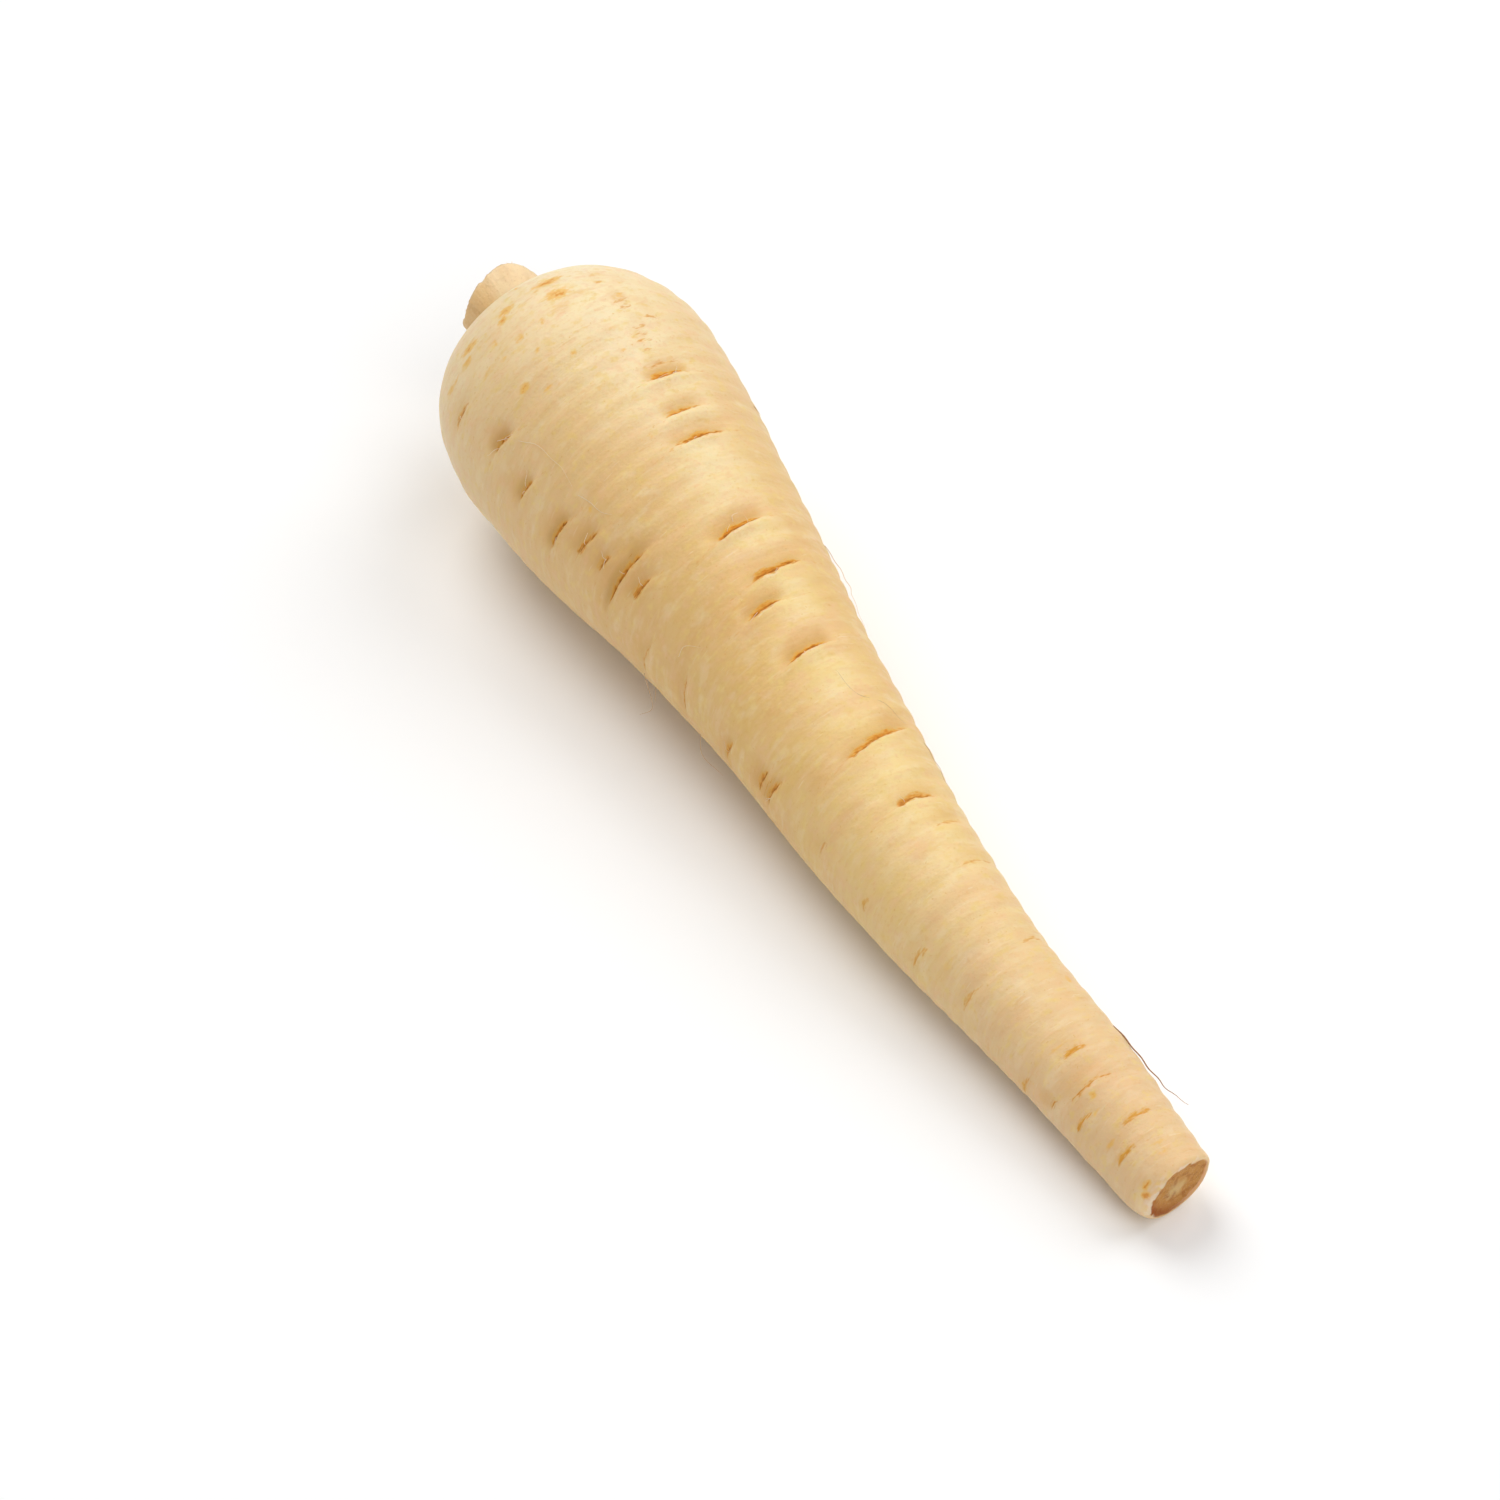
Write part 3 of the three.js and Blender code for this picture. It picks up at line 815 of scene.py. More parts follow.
@dataclass
class Taproot:
    """The root as one closed skin, from the floor of the hollow to the middle of the tip cut."""

    form: RootForm
    skin: ParsnipSkin = field(default_factory=ParsnipSkin)
    sides: int = 180
    wall_rings: int = 10
    shoulder_rings: int = 46
    body_rings: int = 448
    tip_rings: int = 16
    cut_rings: int = 26
    slit_half_width: float = 0.46
    unevenness: float = 0.24
    dent_half_width: float = 2.4
    dent_share: float = 0.7
    lip_share: float = 0.34
    crease_depth: float = 0.16
    crease_bow: float = 0.35
    cut_dish: float = 0.5
    pith_rise: float = 0.25
    torn_rise: float = 0.35
    face_grain: float = 0.14
    slit_share: float = 0.6
    fleck_depth: float = 0.1
    wrinkle_height: float = 0.05
    lump_height: float = 0.12
    wrinkle_size: tuple[float, float, float] = (1.7, 9.0, 9.0)
    floor_radii: tuple[float, float] = (3.0, 6.0)
    scar_window: float = 12.0
    density_samples: int = 4000
    near_side: float = -45.0
    far_side: float = 62.0
    shaded_side: float = -145.0
    # the side that the painted warm bounce light faces
    painted_bounce_side: float = -90.0
    ring_side: float = 150.0

    def body_distances(self) -> Array:
        """Spaces the body's rings twice as close across the clear furrows.

        The share of rings passed grows by a density, which is 1 plus a hump at each furrow, and the
        distances are read back where that share is even.
        """
        start, end = self.form.shoulder_depth, self.form.length - self.form.tip_rounding
        along = np.linspace(start, end, self.density_samples)
        density = np.ones_like(along)
        for furrow in CLEAR_FURROWS:
            reach = 1.3 + abs(furrow.slant) / 2
            hump = smooth_step(2 * (1 - np.abs(along - furrow.at) / (2 * reach)))
            density = np.maximum(density, 1 + 1.2 * hump)
        passed = np.cumsum(density)
        passed = (passed - passed[0]) / (passed[-1] - passed[0])
        return np.interp(np.linspace(0, 1, self.body_rings + 1)[1:], passed, along)

    def profile(self) -> tuple[Array, Array, Array]:
        """The root's outline: hollow, rim, superellipse shoulder, taper, rounded tip edge and cut.

        Returns:
            Distance along the axis, radius, and share of the cut's radius (1 off the cut), by ring.
        """
        form = self.form
        turn = np.linspace(0, np.pi / 2, self.wall_rings, endpoint=False)
        wall_along = form.hollow_depth * (1 - np.sin(turn))
        wall_radius = form.rim_radius - (form.rim_radius - form.hollow_floor_radius) * np.cos(turn)
        power = 2 / form.shoulder_squareness
        turn = np.linspace(0, np.pi / 2, self.shoulder_rings + 1)
        shoulder_along = form.shoulder_depth * (1 - np.maximum(np.cos(turn), 0.0) ** power)
        shoulder_radius = form.rim_radius + (form.shoulder_radius - form.rim_radius) * np.sin(turn) ** power
        body_along = self.body_distances()
        turn = np.linspace(0, np.pi / 2, self.tip_rings + 1)[1:]
        tip_along = form.length - form.tip_rounding * (1 - np.sin(turn))
        tip_radius = form.radius(tip_along) - form.tip_edge_drop * (1 - np.cos(turn))
        cut_share = np.linspace(1, 0, self.cut_rings + 1)[1:-1]
        along = np.concatenate([
            np.full(len(self.floor_radii), form.hollow_depth),
            wall_along, shoulder_along, body_along, tip_along,
            np.full(len(cut_share), form.length),
        ])
        radius = np.concatenate([
            self.floor_radii, wall_radius, shoulder_radius, form.radius(body_along), tip_radius,
            tip_radius[-1] * cut_share,
        ])
        share = np.concatenate([np.ones(len(along) - len(cut_share)), cut_share])
        return along, radius, share

    def scar_relief(self, along: Array, angle: Array, skin_place: Array) -> tuple[Array, dict[str, Array]]:
        """Sinks the furrows into the skin and marks their stains, the painted shade in their dents
        and the painted highlights on their lips.

        Each furrow is a slit with ragged edges. On the crown's side a soft dent falls towards it, and
        on the tip's side a swollen lip stands up steeply from it. A shallow crease carries it on round
        the root, bowed towards the tip at its ends.

        Args:
            along: Distance of each point along the axis.
            angle: Its angle round the axis, in radians.
            skin_place: Its place in millimetres, for the noise.

        Returns:
            The height of the skin over the plain form, and the marks by name.
        """
        relief = np.zeros_like(along)
        marks = {name: np.zeros_like(along) for name in SCAR_MARKS}
        ragged = value_noise(skin_place, size=2.4, seed=5, layers=3)
        gaps = value_noise(skin_place, size=2.6, seed=23, layers=2)
        fibres = value_noise(skin_place, size=0.6, seed=31)
        ring_along = along[:, 0]
        for furrow in self.form.furrows:
            rows = np.nonzero(np.abs(ring_along - furrow.at) < self.scar_window)[0]
            window = slice(rows[0], rows[-1] + 1)
            part_along = along[window]
            across = 2 * turn_from(angle[window], furrow.angle) * self.form.radius(part_along) / furrow.span
            bow = self.crease_bow * np.abs(across) ** 1.5
            unevenness = self.unevenness * min(1.0, (furrow.span / 8) ** 2)
            past = part_along - furrow.at - furrow.slant * across / 2 - bow + unevenness * ragged[window]
            fade = clamp01(1 - across**2)
            soft = smooth_step(1 - (across / 1.7) ** 2)
            crease = smooth_step(1.3 - np.abs(across) / 2.2) * (0.7 + 0.3 * gaps[window])
            before = smooth_step(0.5 - past / 0.9)
            dent = self.dent_share * soft * bell(past + 1.4, self.dent_half_width) * before
            lip = self.lip_share * soft * bell(past - 1.3, 1.5)
            look = SCAR_LOOKS[furrow.kind]
            narrow = np.sqrt(fade) * (1 - look.skew * across) * (1 + 0.35 * gaps[window])
            width = self.slit_half_width * (0.2 + 0.8 * narrow)
            sunk = look.sunk * np.sqrt(fade) * smooth_step(1.35 - np.abs(past) / width)
            sunk = sunk * (1 + 0.18 * fibres[window])
            relief[window] += furrow.depth * (look.swollen * (lip - dent) - self.slit_share * sunk)
            relief[window] -= self.crease_depth * crease * bell(past + 0.3, 0.9)

            near = smooth_step(3 - 3 * np.abs(past) / look.reach)
            wide = near * (look.half_width * narrow + look.trail * crease)
            held = wide > marks["scar_wide"][window]
            outer, inner = clamp01(0.4 + 2 * fade), clamp01(2.2 * fade)
            own = {
                "scar_wide": wide,
                "scar_past": past - look.ahead * wide,
                "scar_gold": furrow.stain * look.gold * outer,
                "scar_orange": furrow.stain * look.orange * outer,
                "scar_core": furrow.stain * look.core * inner,
                # strength of the painted highlight on the lip
                "scar_painted_highlight": furrow.stain * look.lip * inner,
            }
            for name, values in own.items():
                marks[name][window] = np.where(held, values, marks[name][window])
            # Painted shade in the dent on the crown's side of each slit, stronger where the furrow is deeper.
            painted_valley_shade = look.swollen * soft**1.5 * bell(past + 1.1, 1.3) * before
            glow = soft * bell(past + 2.2, 2.2) + 0.45 * crease * bell(past + 0.1, 0.7)
            spread = {
                "painted_valley_shade": furrow.stain * furrow.depth * painted_valley_shade,
                "blush": furrow.stain * (0.3 + 0.7 * look.swollen) * glow,
            }
            for name, values in spread.items():
                marks[name][window] = np.maximum(marks[name][window], values)
        for fleck in FLECKS:
            turn = turn_from(angle, fleck.angle)
            across = turn * np.hypot(skin_place[..., 1], skin_place[..., 2]) / fleck.half_round
            spot = bell(np.hypot(across, (along - fleck.at + 0.3 * ragged) / fleck.half_along), 1.4)
            marks["fleck"] = np.maximum(marks["fleck"], fleck.strength * spot)
            relief -= self.fleck_depth * fleck.strength * spot
        return relief, marks

    def build(self) -> Piece:
        """Makes the root's skin and stores the marks its material reads."""
        form = self.form
        ring_along, ring_radius, ring_share = self.profile()
        turn = -2 * np.pi * np.arange(self.sides) / self.sides
        along, angle = np.meshgrid(ring_along, turn, indexing="ij")
        radius = np.repeat(ring_radius[:, None], self.sides, axis=1)
        share = np.repeat(ring_share[:, None], self.sides, axis=1)
        skin_place = np.stack([along, radius * np.sin(angle), radius * np.cos(angle)], axis=-1)

        past_hollow = np.arange(len(ring_along)) >= self.wall_rings + len(self.floor_radii)
        outside = (share == 1) & past_hollow[:, None]
        scars, marks = self.scar_relief(along, angle, skin_place)
        wrinkled = skin_place * (1 / np.array(self.wrinkle_size))
        lower = 0.4 + 0.6 * smooth_step((along - 50) / 60)
        micro = self.wrinkle_height * value_noise(wrinkled, size=1.0, seed=3, layers=2) * lower
        micro = micro + self.lump_height * value_noise(skin_place, size=8.0, seed=11, layers=3)
        near_rim = clamp01(along / 12)
        raised = scars * near_rim + form.swells(along, angle) + micro * clamp01(along / 3)
        raised = np.where(outside, raised, 0.0)
        past_cut = along - form.length
        far = facing(angle, self.far_side)
        corner = 0.45 * bell(far - 1, 0.05) * clamp01((past_cut + 3) / 3)
        corner = corner + 0.85 * smooth_step(0.45 + 0.9 * far) * clamp01((past_cut + 5) / 5) ** 2
        radius = radius + raised + np.where(outside, corner, corner * share)

        on_face = share < 1
        near_side = clamp01(0.5 + 1.2 * facing(angle, self.near_side))
        ragged = value_noise(skin_place, size=1.6, seed=71, layers=3)
        edge = clamp01((share - 0.84) / 0.16) * clamp01((past_cut + 1.6) / 1.6)
        torn = edge * near_side * smooth_step(0.4 + 1.3 * ragged)
        dish = np.where(on_face, self.cut_dish * (1 - share**2), 0.0)
        grain = np.where(on_face, self.face_grain * value_noise(skin_place, size=0.9, seed=77, layers=2), 0.0)
        pith = np.where(on_face, self.pith_rise * bell(share, 0.3), 0.0)
        along_raised = along - dish + grain + pith + self.torn_rise * torn * on_face

        form.centre_on(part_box("taproot"), form.place(along_raised, radius, angle))
        verts = form.place(along_raised, radius, angle).reshape(-1, 3)
        pole_along = np.array([form.hollow_depth, form.length - self.cut_dish + self.pith_rise])
        verts = np.concatenate([verts, form.place(pole_along, np.zeros(2), np.zeros(2))])
        faces = closed_faces(len(ring_along), self.sides)
        piece = mesh_piece("taproot_skin", verts, faces, self.skin.material())

        on_cut = np.where(on_face, smooth_step((1.0 - share) / 0.05), 0.0)
        off_centre = share + 0.16 * facing(angle, self.ring_side) * share
        crown = clamp01(1 - (radius - form.rim_radius) / 3.0) * clamp01(1 - (along - 0.3) / 2.0)
        crown = np.where(outside, crown, np.where(share == 1, 1.0, 0.0))
        crown = np.where(along > form.hollow_depth + 2, 0.0, crown)
        shaded = clamp01(facing(angle, self.shaded_side))
        shade = clamp01(0.4 * near_side * share**4 + 0.85 * shaded * share**2)
        # The amber mark is painted light: warm bounce light and warm shade on the -Y and +Y sides of the
        # upper body.
        side = smooth_step(0.4 + 0.9 * facing(angle, self.painted_bounce_side))
        side = side + 0.9 * smooth_step(1.5 * np.sin(angle) - 0.1)
        marks |= {
            "cut": on_cut, "cut_reach": np.where(on_face, off_centre, 1.2), "torn": torn, "crown": crown,
            "cut_shade": np.where(on_face, shade, 0.0), "amber": side * bell(along - 80, 85),
        }
        pole_marks = {"cut": (0.0, 1.0), "crown": (1.0, 0.0)}
        for name, values in marks.items():
            add_mark(piece, name, np.concatenate([values.ravel(), pole_marks.get(name, (0.0, 0.0))]))
        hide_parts("taproot")
        return piece


# ---- Leaf stalk stub ----


@dataclass(frozen=True)
class StalkTissue:
    """Drying leaf stalk bases: fibrous tan tissue, dull, with fine lengthwise threads.

    Fibres catch the light in thin pale lines, and the tissue is darker brown at the foot. The cut
    ends are pithy. Painted shade darkens the gaps between the sheaths, the cut edges beside them
    and the grooves between the stalks.
    """

    tan: str = "#EFC98F"
    pale: str = "#FBE2B8"
    brown: str = "#C4965A"
    # painted shade in the gaps between the sheaths and the grooves between the stalks
    painted_gap_shade: str = "#9C6B3A"
    pith: str = "#E3C294"
    fray: str = "#F3DFBD"
    roughness: float = 0.68
    relief_mm: float = 0.1
    scatter_mm: float = 1.2

    def material(self) -> Material:
        """Builds the tissue from lengthwise fibres and the marks stored on the stub."""
        recipe = Recipe("leaf_stalk_tissue_cut")
        add, grain, tints = recipe.add, recipe.grain, recipe.tints
        marks = {name: add("ShaderNodeAttribute", attribute_name=name).outputs["Fac"] for name in STALK_MARKS}
        fibres, grit, mottle = grain(5, 0.7, detail=4), grain(0.5, shift=3.1), grain(3.5, shift=2.0, detail=2)

        colour = tints(
            self.tan,
            (self.pale, marks["lit"], 0.0, 1.0, 0.75),
            (self.pale, fibres, 0.48, 0.75, 0.22),
            (self.brown, fibres, 0.4, 0.22, 0.12),
            (self.brown, mottle, 0.52, 0.72, 0.2),
            (self.brown, grit, 0.55, 0.75, 0.3),
            (self.pale, grit, 0.45, 0.27, 0.3),
        )
        face = tints(self.pith, (self.pale, grit, 0.45, 0.7, 0.6), (self.brown, mottle, 0.5, 0.75, 0.4))
        colour = add("ShaderNodeMix", {0: marks["cut"], 6: colour, 7: face}, data_type="RGBA").outputs[2]
        colour = tints(
            colour,
            (self.fray, marks["pale_edge"], 0.0, 1.0),
            (self.brown, marks["foot"], 0.0, 1.0, 0.9),
            # painted shade: darkens the gaps between the sheaths, the cut edges beside them and the grooves
            # between the stalks
            (self.painted_gap_shade, marks["seam"], 0.0, 1.0),
        )

        height = add(MATH, {0: fibres, 1: grit}, operation="ADD").outputs[0]
        bump = add("ShaderNodeBump", {"Height": height, "Distance": self.relief_mm * MM, "Strength": 0.7})
        return recipe.finish({
            "Base Color": colour,
            "Roughness": self.roughness,
            "Normal": bump.outputs[0],
            "Subsurface Weight": 0.15,
            "Subsurface Radius": (1.0, 0.55, 0.25),
            "Subsurface Scale": self.scatter_mm * MM,
        })


STALK_MARKS = ("cut", "seam", "pale_edge", "foot", "lit")


@dataclass(frozen=True)
class Sheath:
    """One leaf stalk base on the cut: a crescent between two circles.

    Attributes:
        angle: Angle of its thick side, in degrees.
        radius: Radius of its outer circle, in millimetres.
        thickness: Thickness on the thick side.
        height: How far its cut stands over the stub's mean height.
    """

    angle: float
    radius: float
    thickness: float
    height: float


@dataclass
class LeafStalkStub:
    """The bundle of leaf stalk bases cut off over the crown. Lengths are in millimetres."""

    form: RootForm
    tissue: StalkTissue = field(default_factory=StalkTissue)
    height: float = 14.0
    radius: float = 8.4
    flare: float = 0.06
    lean_y: float = -0.05
    lean_z: float = 0.14
    gap: float = 0.3
    stalks: int = 5
    stalk_bulge: float = 0.9
    cut_wave: float = 0.7
    sides: int = 288
    wall_rings: int = 90
    top_rings: int = 72
    keel_angle: float = -19.0
    fray_count: int = 30
    fray_seed: int = 6151
    gap_depth: float = 1.5
    sheaths: tuple[Sheath, ...] = (
        Sheath(-25, 8.7, 2.5, 0.1), Sheath(160, 8.5, 2.2, 0.0), Sheath(95, 6.9, 2.2, -0.4),
        Sheath(-100, 6.2, 2.0, -0.15), Sheath(30, 5.0, 1.9, -0.55), Sheath(-150, 3.9, 1.7, -0.3),
        Sheath(70, 2.6, 1.4, -0.5),
    )
    core_radius: float = 1.1
    outer_radius: float = 8.7
    cut_radius: float = 8.5
    fibre_stretch: float = 3.2
    lit_side: float = -22.0

    def seam(self, rise: Array, angle: Array) -> Array:
        """How far a point lies from the seams between the stalks: 0 on a seam, 1 between two."""
        return np.abs(np.sin((self.stalks * (angle + 0.25 * rise)) / 2 + 0.4 * np.cos(angle)))

    def reach(self, rise: Array, angle: Array) -> Array:
        """Radius of the bundle: it flares upwards and bulges at each stalk, with a keel on one."""
        seam = self.seam(rise, angle)
        plain = self.radius * (1 + self.flare * (2 * rise - 1)) - self.stalk_bulge / 2
        keel = 0.3 * np.exp(-np.abs(turn_from(angle, self.keel_angle)) / 0.16)
        return plain + self.stalk_bulge * (0.25 + 0.75 * np.sqrt(seam**2 + 0.09)) ** 0.9 + keel - 0.12

    def wave(self, angle: Array) -> Array:
        """Unevenness of the cut round its edge."""
        return self.cut_wave * (np.sin(2 * angle + 1) + 0.6 * np.cos(3 * angle))

    def lay(self, tall: Array, reach: Array, angle: Array) -> Array:
        """Places points at a height over the hollow's floor, a radius and an angle, in metres."""
        return self.form.lay(
            self.form.hollow_depth - tall,
            self.form.hollow_shift_y + self.lean_y * tall + reach * np.sin(angle),
            self.form.hollow_shift_z + self.lean_z * tall + reach * np.cos(angle),
        )

    def cut_relief(self, share: Array, angle: Array) -> tuple[Array, Array, Array]:
        """Height of the cut: each crescent stands up from the gaps between the sheaths.

        Args:
            share: How far out each point lies, from 0 in the middle to 1 at the edge.
            angle: Its angle, in radians.

        Returns:
            Height over the mean cut, depth of the gap at each point, and nearness to an edge.
        """
        radius = share * self.cut_radius
        y, z = radius * np.sin(angle), radius * np.cos(angle)
        uneven = value_noise(np.stack([y, z, np.zeros_like(y)], axis=-1), size=3.2, seed=53, layers=2)
        height = np.full(share.shape, -self.gap_depth)
        edge = np.zeros(share.shape)
        for sheath in self.sheaths:
            turned = math.radians(sheath.angle)
            aside = 0.06 * (self.outer_radius - sheath.radius) * sheath.thickness
            shift = 0.75 * sheath.thickness
            middle_y, middle_z = aside * math.sin(turned), aside * math.cos(turned)
            from_outer = sheath.radius + 0.25 - np.hypot(y - middle_y, z - middle_z)
            inner_y, inner_z = middle_y - shift * math.sin(turned), middle_z - shift * math.cos(turned)
            from_inner = np.hypot(y - inner_y, z - inner_z) - (sheath.radius - sheath.thickness + shift)
            inside = np.minimum(from_outer, from_inner) + 0.3 * uneven
            stands = -self.gap_depth + (sheath.height + self.gap_depth) * smooth_step(inside / 0.4 + 0.35)
            edge = np.where(stands > height, 1 - smooth_step(inside / 0.6), edge)
            height = np.maximum(height, stands)
        core = -self.gap_depth + 0.9 * smooth_step((self.core_radius - np.hypot(y, z)) / 0.5)
        height = np.maximum(height, core)
        return height, clamp01((-0.75 - height) / 0.75), edge

    def build(self) -> list[Piece]:
        """Makes the bundle as one closed body, and the frayed fibres on its rim."""
        turn = -2 * np.pi * np.arange(self.sides) / self.sides
        top_share = np.linspace(0, 1, self.top_rings + 1)[1:-1]
        rise = np.linspace(1, 0, self.wall_rings)
        share = np.concatenate([top_share, np.ones(self.wall_rings)])
        height = np.concatenate([
            np.full(len(top_share), self.height), self.gap + (self.height - self.gap) * rise,
        ])
        tall, angle = np.meshgrid(height, turn, indexing="ij")
        share = np.repeat(share[:, None], self.sides, axis=1)
        rise = tall / self.height
        stretched = self.fibre_stretch * self.radius
        around = np.stack([stretched * np.sin(angle), stretched * np.cos(angle), tall * 0.35], axis=-1)
        fibres = value_noise(around, size=1.6, seed=7, layers=2)
        reach = (self.reach(rise, angle) + 0.06 * fibres * (share == 1)) * share
        on_top = np.arange(len(height)) < len(top_share)
        relief, gap, edge = self.cut_relief(share, angle)
        rim_rag = 0.35 * value_noise(around * np.array([1, 1, 0.01]), size=22.0, seed=19, layers=4)
        places = np.stack([reach * np.sin(angle), reach * np.cos(angle), tall], axis=-1)
        rough = 0.16 * value_noise(places, size=0.7, seed=29, layers=2)
        lifted = self.wave(angle) * share + relief * (1 - 0.8 * share**24) + rough + rim_rag * share
        rounded = -0.3 * bell(1 - rise, 0.03)
        side_lift = (self.wave(angle) + rim_rag) * clamp01(2 * rise - 1)
        tall = tall + np.where(on_top[:, None], lifted, side_lift + rounded)

        poles = self.lay(np.array([self.height - 0.8, self.gap]), np.zeros(2), np.zeros(2))
        verts = np.concatenate([self.lay(tall, reach, angle).reshape(-1, 3), poles])
        finish = self.tissue.material()
        faces = closed_faces(len(height), self.sides)
        stub = mesh_piece("leaf_stalk_bundle", verts, faces, finish)
        on_side = ~on_top[:, None] & np.ones_like(angle, dtype=bool)
        # Painted shade: the seam mark darkens the grooves between the stalks on the side, and on the cut the
        # gaps between the sheaths and the edges beside them.
        seam = 0.08 * bell(self.seam(rise, angle), 0.2)
        lit = smooth_step(0.55 + 1.5 * np.sin(angle - math.radians(self.lit_side)))
        marks = {
            "cut": np.where(on_side, 0.0, 1.0),
            "seam": np.where(on_side, seam, clamp01(0.75 * gap + 0.25 * edge)),
            "pale_edge": np.where(on_side, 0.3 * bell(1 - rise, 0.06), 0.0),
            "foot": np.where(on_side, 0.7 * smooth_step(1.1 - rise * 2.2), 0.0),
            "lit": np.where(on_side, lit, 0.3),
        }
        for name, values in marks.items():
            add_mark(stub, name, np.concatenate([values.ravel(), (0.0, 0.0)]))
        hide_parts("leaf_stalk_stub")
        return [stub, self.frayed_fibres(finish)]

    def frayed_fibres(self, finish: Material) -> Piece:
        """Short torn fibres standing up round the rim of the cut, in one mesh."""
        numbers = iter(seeded_numbers(self.fray_seed, 8 * self.fray_count))
        steps = np.linspace(0, 1, 4)
        threads = []
        for _ in range(self.fray_count):
            angle = 2 * np.pi * next(numbers)
            inset = 0.25 + 0.5 * next(numbers)
            tall = 0.05 + 0.35 * next(numbers) ** 2
            lean = 0.5 * (next(numbers) - 0.3)
            twist = 0.12 * (next(numbers) - 0.5)
            thick = 0.05 + 0.04 * next(numbers)
            base = self.height + float(self.wave(np.array(angle))) - 0.7
            reach = float(self.reach(np.array(1.0), np.array(angle))) - inset + lean * steps**2
            places = self.lay(base + (0.7 + tall) * steps, reach, angle + twist * steps)
            threads.append(Thread(places, thick))
        return thread_piece("stalk_fray", threads, finish)


# ---- Rootlets ----


@dataclass(frozen=True)
class Thread:
    """A fine tapered thread: its places in metres, its radius in millimetres and how brown it is."""

    places: Array
    radius: float
    brown: float = 0.0


def smooth_path(points: Array, steps: int) -> Array:
    """Runs a smooth curve through points, a cubic between each two with slopes from neighbours."""
    knots = np.arange(len(points), dtype=float)
    wanted = np.linspace(0, len(points) - 1, steps)
    columns = [smooth_through(tuple(zip(knots, points[:, axis])), wanted) for axis in range(points.shape[1])]
    return np.stack(columns, axis=-1)


THREAD_SIDE = np.array([0.31, 0.22, 0.92])  # no thread runs this way, so it gives each one a side


def thread_piece(name: str, threads: list[Thread], finish: Material, sides: int = 5) -> Piece:
    """Makes all the threads of a kind as one mesh of thin tapered tubes."""
    verts, faces, brown = [], [], []
    first = 0
    for thread in threads:
        count = len(thread.places)
        heading = np.gradient(thread.places, axis=0)
        heading /= np.maximum(np.linalg.norm(heading, axis=1, keepdims=True), 1e-12)
        side = np.cross(heading, THREAD_SIDE)
        side /= np.linalg.norm(side, axis=1, keepdims=True)
        other = np.cross(heading, side)
        share = np.linspace(0, 1, count)
        radius = thread.radius * MM * (1 - 0.75 * share**2)
        turn = 2 * np.pi * np.arange(sides) / sides
        ring = np.cos(turn)[:, None] * side[:, None, :] + np.sin(turn)[:, None] * other[:, None, :]
        points = thread.places[:, None, :] + ring * radius[:, None, None]
        verts += [points.reshape(-1, 3), thread.places[[0, -1]]]
        brown.append(np.full(count * sides + 2, thread.brown))
        faces.append(closed_faces(count, sides, first))
        first += count * sides + 2
    piece = mesh_piece(name, np.concatenate(verts), np.concatenate(faces), finish)
    add_mark(piece, "brown", np.concatenate(brown))
    return piece


@dataclass(frozen=True)
class RootletFibre:
    """Dry root hair: thin threads, cream where fresh and brown where they have dried out."""

    fresh: str = "#FBE8C8"
    dried: str = "#986842"
    roughness: float = 0.6

    def material(self) -> Material:
        """Mixes the fresh and the dried colour by each thread's own mark."""
        recipe = Recipe("rootlet_fibre_dry")
        brown = recipe.add("ShaderNodeAttribute", attribute_name="brown")
        inputs = {0: brown.outputs["Fac"], 6: to_linear(self.fresh), 7: to_linear(self.dried)}
        colour = recipe.add("ShaderNodeMix", inputs, data_type="RGBA")
        looks = {"Base Color": colour.outputs[2], "Roughness": self.roughness, "Specular IOR Level": 0.15}
        return recipe.finish(looks)


# Each row holds brownness and radius in mm, and then the stops: distance along the axis in mm, angle in
# degrees and height over the skin in mm.
CLEAR_ROOTLETS = (
    (0.15, 0.06, (
        (30, -61, 0), (32, -56, 0.1), (35, -52, 0.1), (38, -48, 0.1), (42, -47, 0.1), (46, -46, 0.1),
        (50, -48, 0),
    )),
    (0.15, 0.06, ((52, -48, 0), (55, -46, 0.1), (58, -45, 0.1), (60, -42, 0))),
    (0.45, 0.07, ((81, 64, 0), (84, 72, 0.6), (90, 72, 1.0), (94, 66, 0.7), (100, 68, 0.2))),
    (1.0, 0.15, (
        (199, 59, 0), (204, 60, 0.3), (209, 62, 0.4), (212, 66, 0.6), (215, 66, 1.0), (220, 65, 2.6),
    )),
    (0.6, 0.045, ((112, 12, 0), (118, 16, 0.05), (121, 32, 0.05), (126, 44, 0))),
    (0.6, 0.06, ((129, 59, 0), (134, 63, 0.2), (140, 62, 0.1))),
    (0.5, 0.07, ((81, -104, 0), (86, -114, 3), (86, -113, 6))),
    (0.5, 0.07, ((84, -109, 0), (86, -112, 2))),
    (0.4, 0.07, ((98, -110, 0), (102, -112, 2.5), (108, -113, 2))),
    (0.0, 0.08, ((75, 3, -0.4), (74.2, 3.5, 0.3), (74, 7, 0.2))),
    (0.1, 0.05, ((89, -66, 0), (89, -58, 0.1), (92, -50, 0))),
    (0.6, 0.06, ((46, 64, 0), (47, 70, 0.3))),
)


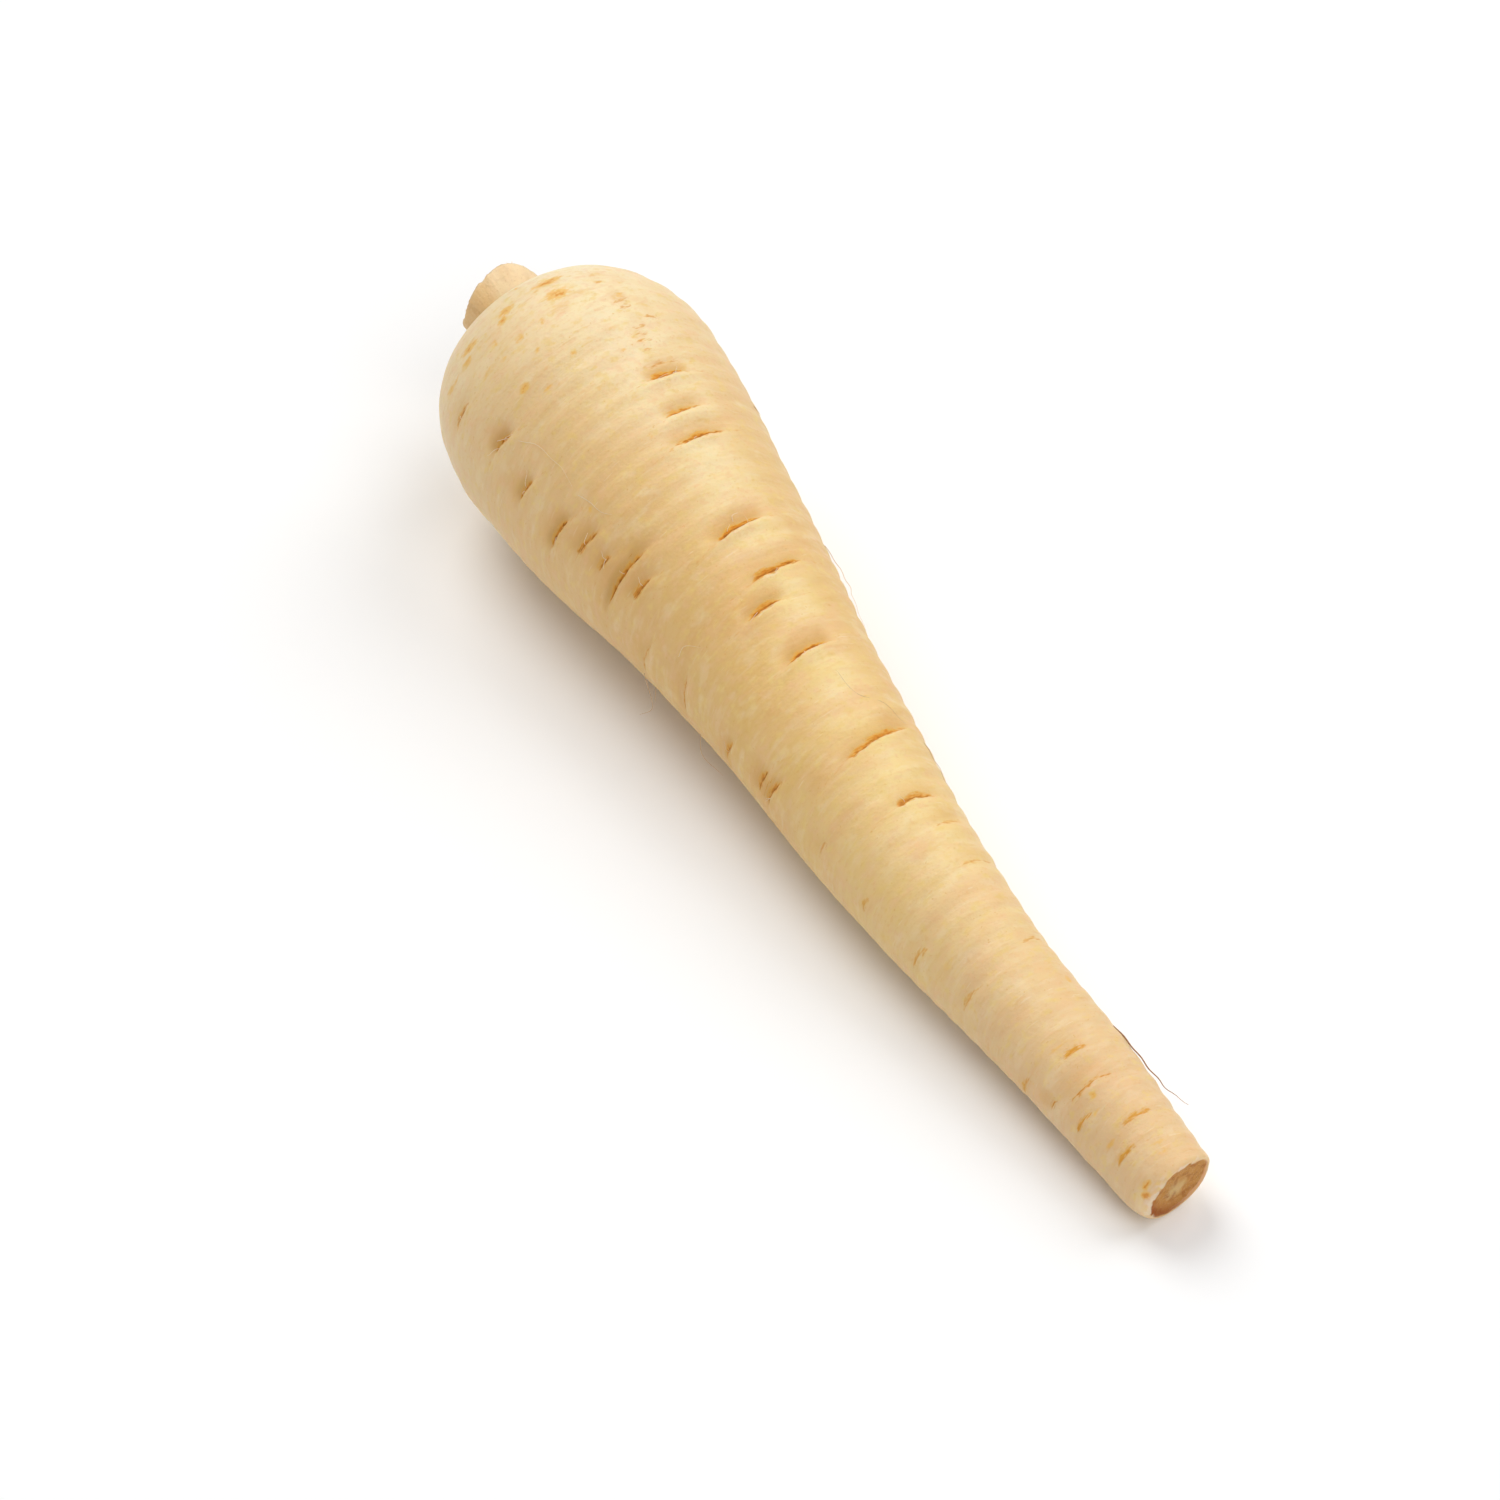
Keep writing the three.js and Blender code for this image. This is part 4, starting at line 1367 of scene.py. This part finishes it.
@dataclass
class Rootlets:
    """Fine rootlets: the clear ones listed one by one, and a seeded scatter of short ones from the scars."""

    form: RootForm
    fibre: RootletFibre = field(default_factory=RootletFibre)
    scattered: int = 48
    seed: int = 2903
    clear_steps: int = 26
    short_steps: int = 12

    def on_skin(self, stops: Array, steps: int) -> Array:
        """Runs a thread along stops given as distance, angle in degrees and height over the skin."""
        path = smooth_path(stops, steps)
        along, angle = path[:, 0], np.radians(path[:, 1])
        radius = self.form.radius(along) + self.form.swells(along, angle) + path[:, 2]
        return self.form.place(along, radius, angle)

    def build(self) -> Piece:
        """Makes all the rootlets as one mesh."""
        threads = [
            Thread(self.on_skin(np.array(stops, dtype=float), self.clear_steps), radius, brown)
            for brown, radius, stops in CLEAR_ROOTLETS
        ]
        numbers = iter(seeded_numbers(self.seed, 8 * self.scattered))
        furrows = [furrow for furrow in self.form.furrows if furrow.kind in (SLIT, PIT)]
        for _ in range(self.scattered):
            furrow = furrows[int(next(numbers) * len(furrows)) % len(furrows)]
            used = math.degrees(furrow.span / float(self.form.radius(np.array(furrow.at)))) * 0.6
            turned = furrow.angle + used * (next(numbers) - 0.5)
            run = (0.5 + 1.3 * next(numbers)) * (1 if next(numbers) > 0.5 else -1)
            swerve = 12 * (next(numbers) - 0.5)
            lift = 0.1 + 0.3 * next(numbers) ** 3
            stops = np.array([
                (furrow.at, turned, -0.35),
                (furrow.at + 0.3 * run, turned + 0.3 * swerve, 0.08),
                (furrow.at + 0.7 * run, turned + swerve, lift),
                (furrow.at + run, turned + 1.1 * swerve, 0.6 * lift),
            ])
            places = self.on_skin(stops, self.short_steps)
            threads.append(Thread(places, 0.035 + 0.03 * next(numbers), 0.2 * next(numbers)))
        return thread_piece("rootlets", threads, self.fibre.material())


# ---- Studio ----


@dataclass(frozen=True)
class SoftBox:
    """A large round soft light: its direction in degrees and its brightness on a facing surface."""

    name: str
    azimuth: float
    elevation: float
    brightness: float


@dataclass(frozen=True)
class Studio:
    """A white sweep under four soft boxes, and a high three-quarter view. Lengths are in metres."""

    floor_size: float = 60.0
    floor_level: float = -0.00005
    floor_colour: str = "#FFFFFF"
    floor_roughness: float = 0.9
    surround: float = 0.23
    lit_height: float = 0.03
    box_distance: float = 5.0
    box_size: float = 3.6
    boxes: tuple[SoftBox, ...] = (
        SoftBox("soft_box_over_tip", 0, 50, 0.28),
        SoftBox("soft_box_over_crown", 180, 50, 0.5),
        SoftBox("soft_box_behind", 90, 50, 0.34),
        SoftBox("soft_box_in_front", -35, 35, 0.08),
    )
    azimuth: float = 56.7
    elevation: float = 49.48
    distance: float = 0.95
    focal_length_mm: float = 118.8
    sensor_mm: float = 36.0
    aim_aside: float = -0.01364
    aim_up: float = -0.01119

    def build(self) -> None:
        """Adds the floor, the lights and the camera."""
        self.add_floor()
        self.add_lights()
        self.add_camera()
        bpy.context.scene.view_settings.view_transform = "Standard"

    def add_floor(self) -> None:
        """A matt white floor just under the part."""
        half = self.floor_size / 2
        verts = [(x * half, y * half, self.floor_level) for x, y in ((-1, -1), (1, -1), (1, 1), (-1, 1))]
        data = bpy.data.meshes.new("studio_floor")
        data.from_pydata(verts, [], [(0, 1, 2, 3)])
        recipe = Recipe("studio_paper_matt")
        looks = {"Base Color": to_linear(self.floor_colour), "Roughness": self.floor_roughness}
        data.materials.append(recipe.finish(looks))
        new_object("studio_floor", data)

    def add_lights(self) -> None:
        """Large soft boxes, over both ends, behind and in front, and a faint even surround.

        A lamp of power p gives a facing surface at distance d a brightness of p over pi squared d
        squared, so the power follows from the wanted brightness.
        """
        middle = Vector((0.0, 0.0, self.lit_height))
        for box in self.boxes:
            turn, climb = math.radians(box.azimuth), math.radians(box.elevation)
            level = math.cos(climb)
            ray = Vector((math.cos(turn) * level, math.sin(turn) * level, math.sin(climb)))
            light = bpy.data.lights.new(box.name, "AREA")
            light.shape = "DISK"
            light.size = self.box_size
            light.energy = box.brightness * (math.pi * self.box_distance) ** 2
            new_object(box.name, light).matrix_world = aimed(middle + ray * self.box_distance, -ray)
        world = bpy.data.worlds.new("studio_surround")
        bpy.context.scene.world = world
        world.use_nodes = True
        background = world.node_tree.nodes["Background"]
        background.inputs["Color"].default_value = (1.0, 1.0, 1.0, 1.0)
        background.inputs["Strength"].default_value = self.surround

    def add_camera(self) -> None:
        """Looks from an azimuth and elevation at a place a little beside the middle of the part."""
        low, high = (Vector(corner) for corner in CAD_BOX)
        middle = (low + high) / 2
        turn, climb = math.radians(self.azimuth), math.radians(self.elevation)
        level = math.cos(climb)
        back = Vector((math.sin(turn) * level, -math.cos(turn) * level, math.sin(climb)))
        right = Vector((math.cos(turn), math.sin(turn), 0.0))
        place = middle + back * self.distance
        aim = middle + right * self.aim_aside + back.cross(right) * self.aim_up
        data = bpy.data.cameras.new("studio_camera")
        data.lens = self.focal_length_mm
        data.sensor_width = self.sensor_mm
        camera = new_object("studio_camera", data)
        camera.matrix_world = aimed(place, aim - place)
        bpy.context.scene.camera = camera


# ---- The scene ----


def main() -> None:
    """Builds the parsnip and its stage."""
    logging.basicConfig(level=logging.INFO)
    form = RootForm()
    skin = Taproot(form).build()
    LOG.info("taproot has %d faces", len(skin.data.polygons))
    for piece in LeafStalkStub(form).build() + [Rootlets(form).build()]:
        LOG.info("%s has %d faces", piece.name, len(piece.data.polygons))
    Studio().build()


if __name__ == "__main__":
    main()
